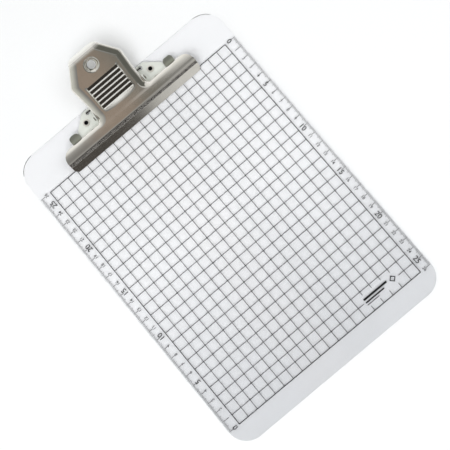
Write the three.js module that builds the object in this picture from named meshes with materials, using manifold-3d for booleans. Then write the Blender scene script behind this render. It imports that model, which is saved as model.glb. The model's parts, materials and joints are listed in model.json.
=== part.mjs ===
// Clear plastic clipboard with a wide spring-loaded lever clip. Sizes in millimetres.
// Origin: centre of the board's underside. +Y runs towards the clip, +Z is up, off the writing face.

import * as THREE from 'three';
import { mergeVertices } from 'three/addons/utils/BufferGeometryUtils.js';
import Module from 'manifold-3d';

const wasm = await Module();
wasm.setup();

// ---------------------------------------------------------------- driving dimensions

// Board
const boardWidth = 223;
const boardLength = 316;
const boardThickness = 3;
const boardCornerRadius = 19;
const boardEdgeBreak = 0.35;

// Where the clip sits, and the sheet that it is pressed from
const pivotFromTopEdge = 14.5;
const pivotHeight = 8.5;
const sheetThickness = 0.9;

// Jaw: a flared lip, a crease and a half-round roll over the full width
const jawWidth = 143;
const lipReach = 25.5;
const lipGap = 0.3;
const rollRadius = 7.6;
const rollTopHeight = 13;
const rollToPivot = 12.5;
const creaseAngle = 168;
const rollBackHeight = 4;
const jawFrontCorner = 4;
const jawBackCorner = 13;

// Handle: a tray with folded edges that rises from the roll
const neckWidth = 53;
const shoulderWidth = 55.6;
const tipWidth = 27;
const handleAngle = 24.6;
const handleLength = 52;
const neckStraight = 12;
const shoulderAt = 31;
const flangeDepth = 5;
const foldRadius = 3;
const shoulderCorner = 3.4;
const bendRadius = 16;
const bendStart = 12;
const rootFillet = 3;

// Grip teeth and the dished hanging hole on the handle
const toothCount = 6;
const toothPitch = 3.94;
const toothHeight = 0.9;
const toothRise = 1.1;
const toothWidth = 33.5;
const firstToothAt = 0.3;
const hangHoleAt = 37;
const hangHoleRadius = 3.75;
const dishRadius = 6.5;
const dishDepth = 1.6;

// Base plate, its paper stops and its pivot ears
const plateFront = 16.5;
const wingWidth = 116;
const wingDepth = 9.5;
const bodyWidth = 96;
const plateRearWidth = 70;
const plateRearInset = 1;
const shoulderSetback = 11;
const plateCorner = 2.5;
const stopLength = 12;
const stopAngle = 38;
const stopCorner = 3.5;
const earRadius = 3.6;
const earFoot = 5;
const earGap = 0.4;
const pilotHoleRadius = 1.85;
const pilotHoleOffset = 2.4;
const pilotHoleBack = 10.5;

// Pivot pin, spring, rivets and washers
const pinRadius = 1.5;
const pinFit = 0.1;
const pinRunningGap = 0.2;
const pinHeadRadius = 2.2;
const pinHeadLength = 1.4;
const seatGap = 0.05;
const wireDiameter = 1.6;
const coilGap = 0.4;
const wireLift = 0.25;
const coilTurns = 4;
const coilPitch = 1.85;
const coilInset = 6;
const springLoopReach = 17;
const tailLength = 4;
const rivetSpacing = 73.5;
const rivetBack = 4.2;
const rivetBoreRadius = 1.7;
const rivetWall = 0.6;
const rivetHeadRadius = 3.3;
const rivetHeadHeight = 0.7;
const rivetFit = 0.1;
const washerRadius = 5;
const washerThickness = 0.6;
const washerClearance = 0.3;
const clenchHeight = 0.7;
const backRecess = 1.6;

// ---------------------------------------------------------------- sizes worked out from them

const pivotY = boardLength / 2 - pivotFromTopEdge;
const pivotZ = boardThickness + pivotHeight;
const neckHalf = neckWidth / 2;
const earInner = neckHalf + earGap;
const earOuter = earInner + sheetThickness;
const boardTop = -pivotHeight;
const plateFoot = boardTop + seatGap;
const plateTop = plateFoot + sheetThickness;
const plateRear = pivotFromTopEdge - plateRearInset;
const pilotHoleX = earOuter + pilotHoleOffset;
const rivetShankRadius = rivetBoreRadius + rivetWall;
const rivetHoleRadius = rivetShankRadius + rivetFit;
const coilRadius = pinRadius + coilGap + wireDiameter / 2;
const arcSteps = 10;

const degrees = THREE.MathUtils.degToRad;

// ---------------------------------------------------------------- solids and shapes

function solid(geometry) {
  const bare = geometry.clone();
  bare.deleteAttribute('normal');
  bare.deleteAttribute('uv');
  const merged = mergeVertices(bare, 1e-4);
  const mesh = new wasm.Mesh({
    numProp: 3,
    vertProperties: new Float32Array(merged.attributes.position.array),
    triVerts: new Uint32Array(merged.index.array),
  });
  return new wasm.Manifold(mesh);
}

function geometryOf(body) {
  const mesh = body.getMesh();
  const geometry = new THREE.BufferGeometry();
  geometry.setAttribute('position', new THREE.BufferAttribute(mesh.vertProperties, 3));
  geometry.setIndex(new THREE.BufferAttribute(mesh.triVerts, 1));
  return geometry;
}

function box(lowX, highX, lowY, highY, lowZ, highZ) {
  const geometry = new THREE.BoxGeometry(highX - lowX, highY - lowY, highZ - lowZ);
  geometry.translate((lowX + highX) / 2, (lowY + highY) / 2, (lowZ + highZ) / 2);
  return solid(geometry);
}

// A straight post or hole with a vertical axis
function postZ(radius, x, y, lowZ, highZ) {
  const geometry = new THREE.CylinderGeometry(radius, radius, highZ - lowZ, 32);
  geometry.rotateX(Math.PI / 2);
  geometry.translate(x, y, (lowZ + highZ) / 2);
  return solid(geometry);
}

// A straight hole across the clip, on the pivot axis
function pivotHole(radius) {
  const geometry = new THREE.CylinderGeometry(radius, radius, jawWidth, 32);
  geometry.rotateZ(Math.PI / 2);
  return solid(geometry);
}

// An outline through corners [x, y, radius], each rounded by its radius
function roundedOutline(corners) {
  const shape = new THREE.Shape();
  corners.forEach(([x, y, radius], index) => {
    const here = new THREE.Vector2(x, y);
    const before = new THREE.Vector2(...corners.at(index - 1));
    const after = new THREE.Vector2(...corners[(index + 1) % corners.length]);
    const toBefore = before.sub(here).normalize();
    const toAfter = after.sub(here).normalize();
    const halfAngle = Math.acos(THREE.MathUtils.clamp(toBefore.dot(toAfter), -1, 1)) / 2;
    const setback = radius / Math.tan(halfAngle);
    const start = here.clone().addScaledVector(toBefore, setback);
    const end = here.clone().addScaledVector(toAfter, setback);
    if (index === 0) {
      shape.moveTo(start.x, start.y);
    } else {
      shape.lineTo(start.x, start.y);
    }
    if (radius > 0) {
      const middle = toBefore.add(toAfter).normalize();
      const centre = here.clone().addScaledVector(middle, radius / Math.sin(halfAngle));
      const startAngle = Math.atan2(start.y - centre.y, start.x - centre.x);
      const endAngle = Math.atan2(end.y - centre.y, end.x - centre.x);
      const clockwise = Math.sin(endAngle - startAngle) < 0;
      shape.absarc(centre.x, centre.y, radius, startAngle, endAngle, clockwise);
    }
  });
  shape.closePath();
  return shape;
}

// The corners of one half, [x, y, radius] with x above 0, repeated on the other side of x = 0
function mirrored(half) {
  const other = half.map(([x, y, radius]) => [-x, y, radius]).reverse();
  return [...half, ...other];
}

// A prism with its outline seen from above
function prismZ(shape, lowZ, highZ) {
  const geometry = new THREE.ExtrudeGeometry(shape, {
    depth: highZ - lowZ,
    bevelEnabled: false,
    curveSegments: arcSteps,
  });
  geometry.translate(0, 0, lowZ);
  return solid(geometry);
}

// A prism with its outline seen from the side, in (y, z), running along X
function prismX(shape, lowX, highX) {
  const geometry = new THREE.ExtrudeGeometry(shape, {
    depth: highX - lowX,
    bevelEnabled: false,
    curveSegments: arcSteps,
  });
  geometry.applyMatrix4(new THREE.Matrix4().makeBasis(
    new THREE.Vector3(0, 1, 0),
    new THREE.Vector3(0, 0, 1),
    new THREE.Vector3(1, 0, 0),
  ));
  geometry.translate(lowX, 0, 0);
  return solid(geometry);
}

// The cut face of a bent sheet: its upper line, and the same line one thickness to the right of it
function sheetSection(path, thickness) {
  const upper = path.getPoints(arcSteps);
  const lower = upper.map((point, index) => {
    const before = upper[Math.max(index - 1, 0)];
    const after = upper[Math.min(index + 1, upper.length - 1)];
    const intoPoint = point.clone().sub(before).normalize();
    const outOfPoint = after.clone().sub(point).normalize();
    const first = index === 0 ? outOfPoint : intoPoint;
    const second = index === upper.length - 1 ? intoPoint : outOfPoint;
    const sum = new THREE.Vector2(first.y + second.y, -first.x - second.x);
    const stretch = thickness / (1 + first.dot(second));
    return point.clone().addScaledVector(sum, stretch);
  });
  return new THREE.Shape([...upper, ...lower.reverse()]);
}

// ---------------------------------------------------------------- lever, measured from the pivot axis

const rollCentre = new THREE.Vector2(-rollToPivot, boardTop + rollTopHeight - rollRadius);

function onCircle(centre, radius, angle) {
  return new THREE.Vector2(
    centre.x + radius * Math.cos(degrees(angle)),
    centre.y + radius * Math.sin(degrees(angle)),
  );
}

// The handle's flat starts where the hollow bend behind the roll has turned up to its slope
const bendCentre = onCircle(rollCentre, rollRadius + bendRadius, 90 - bendStart);
const handleFoot = onCircle(bendCentre, bendRadius, 270 + handleAngle);

function jawLine() {
  const crease = onCircle(rollCentre, rollRadius, creaseAngle);
  const path = new THREE.Path();
  path.moveTo(-lipReach, boardTop + lipGap);
  path.lineTo(crease.x, crease.y);
  path.absarc(rollCentre.x, rollCentre.y, rollRadius, degrees(creaseAngle), 0, true);
  path.lineTo(rollCentre.x + rollRadius, boardTop + rollBackHeight);
  return path;
}

function neckLine(overlap) {
  const path = new THREE.Path();
  const start = onCircle(rollCentre, rollRadius, 90);
  path.moveTo(start.x, start.y);
  path.absarc(rollCentre.x, rollCentre.y, rollRadius, degrees(90), degrees(90 - bendStart), true);
  path.absarc(bendCentre.x, bendCentre.y, bendRadius,
    degrees(270 - bendStart), degrees(270 + handleAngle), false);
  path.lineTo(
    handleFoot.x + overlap * Math.cos(degrees(handleAngle)),
    handleFoot.y + overlap * Math.sin(degrees(handleAngle)),
  );
  return path;
}

function jaw() {
  const halfWidth = jawWidth / 2;
  const rollBack = rollCentre.x + rollRadius;
  const outline = roundedOutline(mirrored([
    [halfWidth, -lipReach - sheetThickness, jawFrontCorner],
    [halfWidth, rollBack, jawBackCorner],
  ]));
  const bent = prismX(sheetSection(jawLine(), sheetThickness), -halfWidth, halfWidth);
  const windowFront = rollCentre.x + rollRadius / 2;
  const windowTop = rollCentre.y + rollRadius;
  const window = box(-neckHalf, neckHalf, windowFront, rollBack + 1, boardTop, windowTop);
  return bent.intersect(prismZ(outline, boardTop + lipGap, rollRadius * 2)).subtract(window);
}

// The bent strip that carries the roll over into the handle, with a fillet at each side of its root
function neck() {
  const rollBack = rollCentre.x + rollRadius;
  const wide = neckHalf + rootFillet;
  const outline = new THREE.Shape();
  outline.moveTo(-wide, rollCentre.x);
  outline.lineTo(wide, rollCentre.x);
  outline.lineTo(wide, rollBack - rootFillet / 2);
  outline.absarc(wide, rollBack + rootFillet / 2, rootFillet, degrees(270), degrees(180), true);
  outline.lineTo(neckHalf, handleFoot.x + 1);
  outline.lineTo(-neckHalf, handleFoot.x + 1);
  outline.lineTo(-neckHalf, rollBack + rootFillet / 2);
  outline.absarc(-wide, rollBack + rootFillet / 2, rootFillet, 0, degrees(270), true);
  outline.closePath();
  const bent = prismX(sheetSection(neckLine(1), sheetThickness), -wide, wide);
  return bent.intersect(prismZ(outline, boardTop, handleFoot.y + rollRadius));
}

// The handle's outline in its own plane, widest at the shoulders; y runs up the slope from its foot
function handleOutline(foot) {
  return roundedOutline(mirrored([
    [neckHalf, foot, 0],
    [neckHalf, neckStraight, 0],
    [shoulderWidth / 2, shoulderAt, shoulderCorner],
    [tipWidth / 2, handleLength, shoulderCorner],
  ]));
}

// A block under the handle's outline with its upper edge rounded, one inset smaller all round
function handleBlock(foot, inset, depth) {
  const round = foldRadius - inset;
  const geometry = new THREE.ExtrudeGeometry(handleOutline(foot), {
    depth,
    bevelEnabled: true,
    bevelThickness: round,
    bevelSize: round,
    bevelOffset: -foldRadius,
    bevelSegments: 4,
    curveSegments: 4,
  });
  geometry.translate(0, 0, -depth - round - inset);
  return solid(geometry);
}

function onHandle(body) {
  return body.rotate([handleAngle, 0, 0]).translate([0, handleFoot.x, handleFoot.y]);
}

// The toothed grip: each tooth is a short rise and a long fall back to the handle's face
function gripTooth(index) {
  const start = firstToothAt + index * toothPitch;
  const shape = new THREE.Shape();
  shape.moveTo(start, -sheetThickness / 2);
  shape.lineTo(start, 0);
  shape.lineTo(start + toothRise, toothHeight);
  shape.lineTo(start + toothPitch, 0);
  shape.lineTo(start + toothPitch, -sheetThickness / 2);
  shape.closePath();
  return prismX(shape, -toothWidth / 2, toothWidth / 2);
}

// The pressed ring round the hanging hole, sunk below the handle's face
function hangDish() {
  const bite = sheetThickness / 2;
  const skin = sheetThickness / 8;
  const profile = [
    [hangHoleRadius, -dishDepth],
    [dishRadius + bite, -skin],
    [dishRadius + bite, skin - sheetThickness],
    [hangHoleRadius, -dishDepth - sheetThickness],
    [hangHoleRadius, -dishDepth],
  ].map(([radius, height]) => new THREE.Vector2(radius, height)).reverse();
  const geometry = new THREE.LatheGeometry(profile, 32);
  geometry.rotateX(Math.PI / 2);
  geometry.translate(0, hangHoleAt, 0);
  return solid(geometry);
}

function handleTray() {
  const wide = shoulderWidth;
  const below = box(-wide, wide, -handleLength, 2 * handleLength, -4 * flangeDepth, -flangeDepth);
  const beforeFoot = box(-wide, wide, -handleLength, 0, -4 * flangeDepth, flangeDepth);
  let tray = handleBlock(-flangeDepth, 0, 2 * flangeDepth);
  tray = tray.subtract(handleBlock(-2 * flangeDepth, sheetThickness, 3 * flangeDepth));
  tray = tray.subtract(below).subtract(beforeFoot);
  for (let index = 0; index < toothCount; index += 1) {
    tray = tray.add(gripTooth(index));
  }
  tray = tray.subtract(postZ(dishRadius, 0, hangHoleAt, -flangeDepth, flangeDepth));
  return onHandle(tray.add(hangDish()));
}

// The two cheeks that the pin passes through, cut off under the neck and the handle
function leverCheeks() {
  const footHeight = handleFoot.y - sheetThickness / 2;
  const shape = new THREE.Shape();
  shape.moveTo(-earRadius, 0);
  shape.absarc(0, 0, earRadius, Math.PI, 2 * Math.PI, false);
  shape.lineTo(2 * earRadius, 2 * footHeight);
  shape.lineTo(-earRadius - 1, 2 * footHeight);
  shape.closePath();
  const right = prismX(shape, neckHalf - sheetThickness, neckHalf);
  const left = prismX(shape, -neckHalf, -neckHalf + sheetThickness);
  const underNeck = neckLine(0).getPoints(arcSteps);
  const half = sheetThickness / 2;
  const region = new THREE.Shape([
    new THREE.Vector2(rollCentre.x, boardTop),
    new THREE.Vector2(handleFoot.x, boardTop),
    ...underNeck.reverse().map((point) => new THREE.Vector2(point.x, point.y - half)),
  ]);
  const limit = prismX(region, -neckHalf, neckHalf).add(onHandle(handleBlock(0, 0, 4 * flangeDepth)));
  return right.add(left).intersect(limit);
}

function leverGeometry() {
  const body = jaw().add(neck()).add(handleTray()).add(leverCheeks());
  return geometryOf(body.subtract(pivotHole(pinRadius + pinRunningGap)));
}

// ---------------------------------------------------------------- base plate, from the pivot axis

function plateOutline() {
  const wingRear = -plateFront + wingDepth;
  return roundedOutline(mirrored([
    [wingWidth / 2, -plateFront, plateCorner],
    [wingWidth / 2, wingRear, 0],
    [bodyWidth / 2, wingRear, 0],
    [bodyWidth / 2, plateRear - shoulderSetback, plateCorner],
    [plateRearWidth / 2, plateRear, plateCorner],
  ]));
}

// A paper stop: a round-topped tongue bent up from the rear edge of each wing
function paperStop(side) {
  const width = (wingWidth - bodyWidth) / 2;
  const root = -plateFront + wingDepth - sheetThickness;
  const outline = roundedOutline(mirrored([
    [width / 2, 0, 0],
    [width / 2, stopLength, stopCorner],
  ]));
  const tongue = prismZ(outline, -sheetThickness, 0).rotate([stopAngle, 0, 0]);
  return tongue.translate([side * (bodyWidth + width) / 2, root, plateTop]);
}

// A pivot ear bent up from the plate, and the window that it leaves behind
function pivotEar(side) {
  const shape = new THREE.Shape();
  shape.moveTo(-earFoot, plateFoot);
  shape.lineTo(earFoot, plateFoot);
  shape.lineTo(earRadius, 0);
  shape.absarc(0, 0, earRadius, 0, Math.PI, false);
  shape.closePath();
  const low = side > 0 ? earInner : -earOuter;
  return prismX(shape, low, low + sheetThickness);
}

function earWindow(side) {
  const height = pivotHeight + earRadius;
  const near = side * earInner;
  const far = side * (earInner - height);
  const halfDepth = earFoot - sheetThickness;
  return box(Math.min(near, far), Math.max(near, far), -halfDepth, halfDepth, boardTop - 1, plateTop + 1);
}

function basePlateGeometry() {
  let plate = prismZ(plateOutline(), plateFoot, plateTop);
  for (const side of [-1, 1]) {
    plate = plate.add(paperStop(side)).add(pivotEar(side)).subtract(earWindow(side));
    plate = plate.subtract(postZ(rivetHoleRadius, side * rivetSpacing / 2, rivetBack, boardTop - 1, plateTop + 1));
    plate = plate.subtract(postZ(pilotHoleRadius, side * pilotHoleX, pilotHoleBack, boardTop - 1, plateTop + 1));
  }
  return geometryOf(plate.subtract(pivotHole(pinRadius + pinFit)));
}

// ---------------------------------------------------------------- pin and spring, from the pivot axis

function pinGeometry() {
  const shoulder = earOuter + seatGap;
  const end = shoulder + pinHeadLength;
  const profile = [
    [0, -end],
    [pinHeadRadius * 0.8, -end],
    [pinHeadRadius, -end + pinHeadLength / 3],
    [pinHeadRadius, -shoulder],
    [pinRadius, -shoulder],
    [pinRadius, shoulder],
    [pinHeadRadius, shoulder],
    [pinHeadRadius, end - pinHeadLength / 3],
    [pinHeadRadius * 0.8, end],
    [0, end],
  ].map(([radius, height]) => new THREE.Vector2(radius, height));
  const geometry = new THREE.LatheGeometry(profile, 32);
  geometry.rotateZ(Math.PI / 2);
  return geometry;
}

// Half of the spring's wire, from the bend of its tail on the plate, up round the coil and out to the
// middle of the loop under the handle
function springHalf() {
  const wireOnPlate = plateTop + wireDiameter / 2 + wireLift;
  const coilStart = -neckHalf + coilInset;
  const tailAngle = Math.atan2(wireOnPlate, pilotHoleBack);
  const legStart = tailAngle - Math.acos(coilRadius / Math.hypot(wireOnPlate, pilotHoleBack));
  const loopStart = Math.PI / 2 + degrees(handleAngle);
  const sweep = coilTurns * 2 * Math.PI + (legStart + 2 * Math.PI - loopStart) % (2 * Math.PI);
  const steps = Math.ceil(sweep / degrees(30));
  const points = [
    new THREE.Vector3(coilStart, pilotHoleBack, wireOnPlate),
  ];
  for (let index = 0; index <= steps; index += 1) {
    const angle = legStart - sweep * index / steps;
    points.push(new THREE.Vector3(
      coilStart + coilPitch * sweep * index / steps / (2 * Math.PI),
      coilRadius * Math.cos(angle),
      coilRadius * Math.sin(angle),
    ));
  }
  const last = points.at(-1);
  const slope = new THREE.Vector3(0, Math.cos(degrees(handleAngle)), Math.sin(degrees(handleAngle)));
  points.push(last.clone().addScaledVector(slope, springLoopReach * 0.5));
  points.push(last.clone().addScaledVector(slope, springLoopReach * 0.9));
  const corner = last.clone().addScaledVector(slope, springLoopReach);
  corner.x += wireDiameter;
  points.push(corner);
  return points;
}

function springGeometry() {
  const half = springHalf();
  const other = half.map((point) => new THREE.Vector3(-point.x, point.y, point.z)).reverse();
  const heel = half[0];
  const turn = wireDiameter;
  half[0] = new THREE.Vector3(heel.x, heel.y - turn, heel.z + turn / 2);
  other[other.length - 1] = new THREE.Vector3(-heel.x, heel.y - turn, heel.z + turn / 2);
  const leftTail = [
    new THREE.Vector3(-earOuter - tailLength, heel.y, heel.z),
    new THREE.Vector3(-earOuter, heel.y, heel.z),
    new THREE.Vector3(heel.x - turn, heel.y, heel.z),
  ];
  const rightTail = [
    new THREE.Vector3(-heel.x + turn, heel.y, heel.z),
    new THREE.Vector3(earOuter, heel.y, heel.z),
    new THREE.Vector3(pilotHoleX - turn / 2, heel.y, heel.z),
    new THREE.Vector3(pilotHoleX, heel.y, heel.z - turn / 2),
  ];
  const line = new THREE.CatmullRomCurve3([...leftTail, ...half, ...other, ...rightTail]);
  const section = new THREE.Shape();
  section.absarc(0, 0, wireDiameter / 2, 0, 2 * Math.PI, false);
  return new THREE.ExtrudeGeometry(section, {
    steps: Math.round(line.getLength() / (wireDiameter * 0.8)),
    curveSegments: 6,
    bevelEnabled: false,
    extrudePath: line,
  });
}

// ---------------------------------------------------------------- board, rivets and washers

function boardGeometry() {
  const halfWidth = boardWidth / 2 - boardEdgeBreak;
  const halfLength = boardLength / 2 - boardEdgeBreak;
  const outline = roundedOutline(mirrored([
    [halfWidth, -halfLength, boardCornerRadius - boardEdgeBreak],
    [halfWidth, halfLength, boardCornerRadius - boardEdgeBreak],
  ]));
  const slab = new THREE.ExtrudeGeometry(outline, {
    depth: boardThickness - 2 * boardEdgeBreak,
    bevelEnabled: true,
    bevelThickness: boardEdgeBreak,
    bevelSize: boardEdgeBreak,
    bevelSegments: 1,
    curveSegments: arcSteps,
  });
  slab.translate(0, 0, boardEdgeBreak);
  let board = solid(slab);
  for (const side of [-1, 1]) {
    const x = side * rivetSpacing / 2;
    const y = pivotY + rivetBack;
    board = board.subtract(postZ(rivetHoleRadius, x, y, -1, boardThickness + 1));
    board = board.subtract(postZ(washerRadius + washerClearance, x, y, -1, backRecess));
  }
  return geometryOf(board);
}

// A tubular rivet: head on the plate, shank through plate and board, clenched over the washer.
// Its height is measured from the board's underside.
function rivetGeometry() {
  const headSeat = boardThickness + sheetThickness + 2 * seatGap;
  const clenchTop = backRecess - washerThickness - 2 * seatGap;
  const clenchFoot = clenchTop - clenchHeight;
  const bellMouth = rivetBoreRadius + rivetWall / 2;
  const profile = [
    [rivetBoreRadius, clenchFoot + clenchHeight / 2],
    [bellMouth, clenchFoot],
    [rivetHeadRadius - clenchHeight / 2, clenchFoot],
    [rivetHeadRadius, clenchTop],
    [rivetShankRadius, clenchTop],
    [rivetShankRadius, headSeat],
    [rivetHeadRadius, headSeat],
    [rivetHeadRadius - rivetHeadHeight / 2, headSeat + rivetHeadHeight],
    [bellMouth, headSeat + rivetHeadHeight],
    [rivetBoreRadius, headSeat + rivetHeadHeight / 2],
    [rivetBoreRadius, clenchFoot + clenchHeight / 2],
  ].map(([radius, height]) => new THREE.Vector2(radius, height));
  const geometry = new THREE.LatheGeometry(profile, 32);
  geometry.rotateX(Math.PI / 2);
  return geometry;
}

function washerGeometry() {
  const top = backRecess - seatGap;
  const inner = rivetShankRadius + rivetFit;
  const profile = [
    [inner, top - washerThickness],
    [washerRadius, top - washerThickness],
    [washerRadius, top],
    [inner, top],
    [inner, top - washerThickness],
  ].map(([radius, height]) => new THREE.Vector2(radius, height));
  const geometry = new THREE.LatheGeometry(profile, 32);
  geometry.rotateX(Math.PI / 2);
  return geometry;
}

// ---------------------------------------------------------------- materials and assembly

function clearPlastic() {
  return new THREE.MeshStandardMaterial({ color: 0xeef2f2, roughness: 0.08, metalness: 0 });
}

function nickelPlate() {
  return new THREE.MeshStandardMaterial({ color: 0xb4b2ad, roughness: 0.22, metalness: 1 });
}

function zincPlate() {
  return new THREE.MeshStandardMaterial({ color: 0xd4d7d2, roughness: 0.3, metalness: 1 });
}

function springSteel() {
  return new THREE.MeshStandardMaterial({ color: 0x8c8d8c, roughness: 0.35, metalness: 1 });
}

function piece(name, geometry, material) {
  const mesh = new THREE.Mesh(geometry, material);
  mesh.name = name;
  return mesh;
}

function clip() {
  const group = new THREE.Group();
  group.position.set(0, pivotY, pivotZ);
  group.add(
    piece('base_plate', basePlateGeometry(), zincPlate()),
    piece('lever', leverGeometry(), nickelPlate()),
    piece('pivot_pin', pinGeometry(), nickelPlate()),
    piece('torsion_spring', springGeometry(), springSteel()),
  );
  return group;
}

function fastening(name, side) {
  const group = new THREE.Group();
  group.position.set(side * rivetSpacing / 2, pivotY + rivetBack, 0);
  group.add(
    piece(`rivet_${name}`, rivetGeometry(), nickelPlate()),
    piece(`back_washer_${name}`, washerGeometry(), zincPlate()),
  );
  return group;
}

const clipboard = new THREE.Group();
clipboard.add(
  piece('board', boardGeometry(), clearPlastic()),
  clip(),
  fastening('left', -1),
  fastening('right', 1),
);

export default clipboard;
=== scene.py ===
"""Clear plastic clipboard with a printed centimetre grid, two rulers and a wide lever clip.

The file is laid out as an add-on and is run as a script. Sizes in the code are in millimetres and become
metres where a mesh is made. The origin is the centre of the board's underside, +Y runs towards the clip
and +Z is up, off the writing face.
"""

import json
import math

import bpy
from bpy.props import FloatProperty, FloatVectorProperty, IntProperty, PointerProperty
from mathutils import Matrix, Vector


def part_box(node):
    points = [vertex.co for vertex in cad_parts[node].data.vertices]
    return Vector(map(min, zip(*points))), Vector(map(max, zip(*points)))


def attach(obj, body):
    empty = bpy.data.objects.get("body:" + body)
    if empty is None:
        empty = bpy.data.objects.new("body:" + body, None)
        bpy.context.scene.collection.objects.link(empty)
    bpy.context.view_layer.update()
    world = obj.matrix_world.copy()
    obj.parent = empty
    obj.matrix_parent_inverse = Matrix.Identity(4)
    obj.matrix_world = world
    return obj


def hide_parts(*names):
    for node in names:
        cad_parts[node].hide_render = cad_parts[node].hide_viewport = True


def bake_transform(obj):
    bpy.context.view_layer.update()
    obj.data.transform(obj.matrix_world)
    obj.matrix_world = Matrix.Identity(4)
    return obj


bl_info = {
    "name": "Clear Clipboard",
    "version": (1, 0, 0),
    "blender": (4, 5, 0),
    "location": "View3D > Sidebar > Clipboard",
    "description": "Models a clear clipboard with a printed grid and a lever clip on its packed frame",
    "category": "Add Mesh",
}

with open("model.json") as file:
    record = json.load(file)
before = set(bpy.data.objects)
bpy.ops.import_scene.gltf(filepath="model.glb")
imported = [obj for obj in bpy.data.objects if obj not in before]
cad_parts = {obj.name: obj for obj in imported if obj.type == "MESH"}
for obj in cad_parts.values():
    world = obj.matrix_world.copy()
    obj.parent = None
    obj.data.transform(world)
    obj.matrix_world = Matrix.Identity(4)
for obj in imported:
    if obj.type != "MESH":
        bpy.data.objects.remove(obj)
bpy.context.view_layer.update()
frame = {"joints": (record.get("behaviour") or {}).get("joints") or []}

MM = 0.001


def frame_mm(node):
    """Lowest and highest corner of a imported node, in millimetres."""
    low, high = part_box(node)
    return low / MM, high / MM


BOARD_LOW, BOARD_HIGH = frame_mm("board")
PLATE_LOW, PLATE_HIGH = frame_mm("base_plate")
LEVER_LOW, LEVER_HIGH = frame_mm("lever")
PIN_HIGH = frame_mm("pivot_pin")[1]
RIVET_LOW, RIVET_HIGH = frame_mm("rivet_right")
WASHER_LOW, WASHER_HIGH = frame_mm("back_washer_right")
SPRING_LOW = frame_mm("torsion_spring")[0]
RIVET_CENTRE = (RIVET_LOW + RIVET_HIGH) / 2
PIVOT = Vector(frame["joints"][0]["pos_m"]) / MM
FINISHES = {}

# The lever's jaw: a flared lip, a crease and a half-round roll, from the pivot axis
ROLL_CENTRE = Vector((-12.5, -3.1))
ROLL_RADIUS = 7.6
ROLL_BACK_FOOT = -4.5
CREASE_ANGLE = 168
ROLL_LEAVES_AT = 78
JAW_FRONT_CORNER = 4
JAW_BACK_CORNER = 13

# The neck and the handle tray with its folded edges
BEND_RADIUS = 16
HANDLE_ANGLE = 24.6
HANDLE_LENGTH = 52
NECK_HALF = 26.5
NECK_STRAIGHT = 12
SHOULDER_HALF = 27.8
SHOULDER_AT = 31
TIP_HALF = 13.5
FOLD_WIDTH = 6.5
FOLD_DEPTH = 4.2
FLANGE_DEPTH = 5
ROOT_FILLET = 3

# Lugs about the pin on the lever's cheeks and the plate's ears, and the cheeks' tops
LUG = 3.6
CHEEK_FRONT, CHEEK_REAR = 3.4, 4.6
CHEEK_BORE = 1.7
CHEEK_INSET = 0.1

# Stepped thumb grip and dished hanging hole
TOOTH_COUNT = 6
TOOTH_PITCH = 3.94
TOOTH_RISE = 1.1
TOOTH_HEIGHT = 0.9
FIRST_TOOTH_AT = 0.3
GRIP_END = FIRST_TOOTH_AT + TOOTH_COUNT * TOOTH_PITCH
GRIP_HALF = 16.6
GRIP_SKIRT = 0.8
GRIP_LIFT = 1.5
GRIP_BOW = 4.6
HANG_HOLE_AT = 37
HANG_HOLE_RADIUS = 3.75

# Rings of the dish about the hole: radius and lift off the handle's face
DISH = (
    (7.35, 0.0), (7.0, 0.0), (6.75, -0.04), (6.5, -0.18), (6.2, -0.45), (5.45, -1.25), (4.75, -1.9),
    (4.3, -2.1), (HANG_HOLE_RADIUS, -2.16),
)

# Rulers and grid: sizes of the print, and how far it sinks into the board so that no gap shows
GRID_CELL = 10
GRID_FOOT = 19
LONG_TICK, MIDDLE_TICK, SHORT_TICK = 4.8, 2.6, 1.9
TICK_INSET = 0.25
NUMBER_OFFSET = 4.4
LARGE_NUMBER, SMALL_NUMBER = 6.6, 3.9
LARGE_NUMBER_SWELL, SMALL_NUMBER_SWELL = 0.04, 0.02
PRINT_SINK = 0.01

# The corner mark's window in the grid, its bars (x, x, y, y) and its lozenge, from the grid's corner
MARK_WINDOW_X, MARK_WINDOW_Y = (146, 184), (5, 16.5)
MARK_BARS = ((148, 173, 11.6, 13.4), (148, 168, 8.9, 10.1), (148, 161, 6.9, 7.5))
LOZENGE_CENTRE = Vector((178.5, 11))
LOZENGE_OUTER, LOZENGE_INNER = 3.2, 2.1

# Holes for the rivets, and recesses for the washers under the board
RIVET_HOLE = 2.4
RECESS_RADIUS = 5.3
RECESS_DEPTH = 1.6


# ------------------------------------------------------------------ colours and settings


def linear(hex_colour):
    """Linear RGBA from an sRGB hex value."""
    channels = [int(hex_colour[start:start + 2], 16) / 255 for start in (1, 3, 5)]
    toe = 0.04045
    curved = [c / 12.92 if c <= toe else ((c + 0.055) / 1.055) ** 2.4 for c in channels]
    return (*curved, 1.0)


def length_setting(name, description, millimetres):
    """A length that the user can change, kept in metres."""
    return FloatProperty(
        name=name, description=description, default=millimetres * MM, min=0.0,
        subtype="DISTANCE", unit="LENGTH", precision=5,
    )


def colour_setting(name, description, hex_colour):
    """A colour that the user can change."""
    return FloatVectorProperty(
        name=name, description=description, default=linear(hex_colour), size=4,
        min=0.0, max=1.0, subtype="COLOR",
    )


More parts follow.
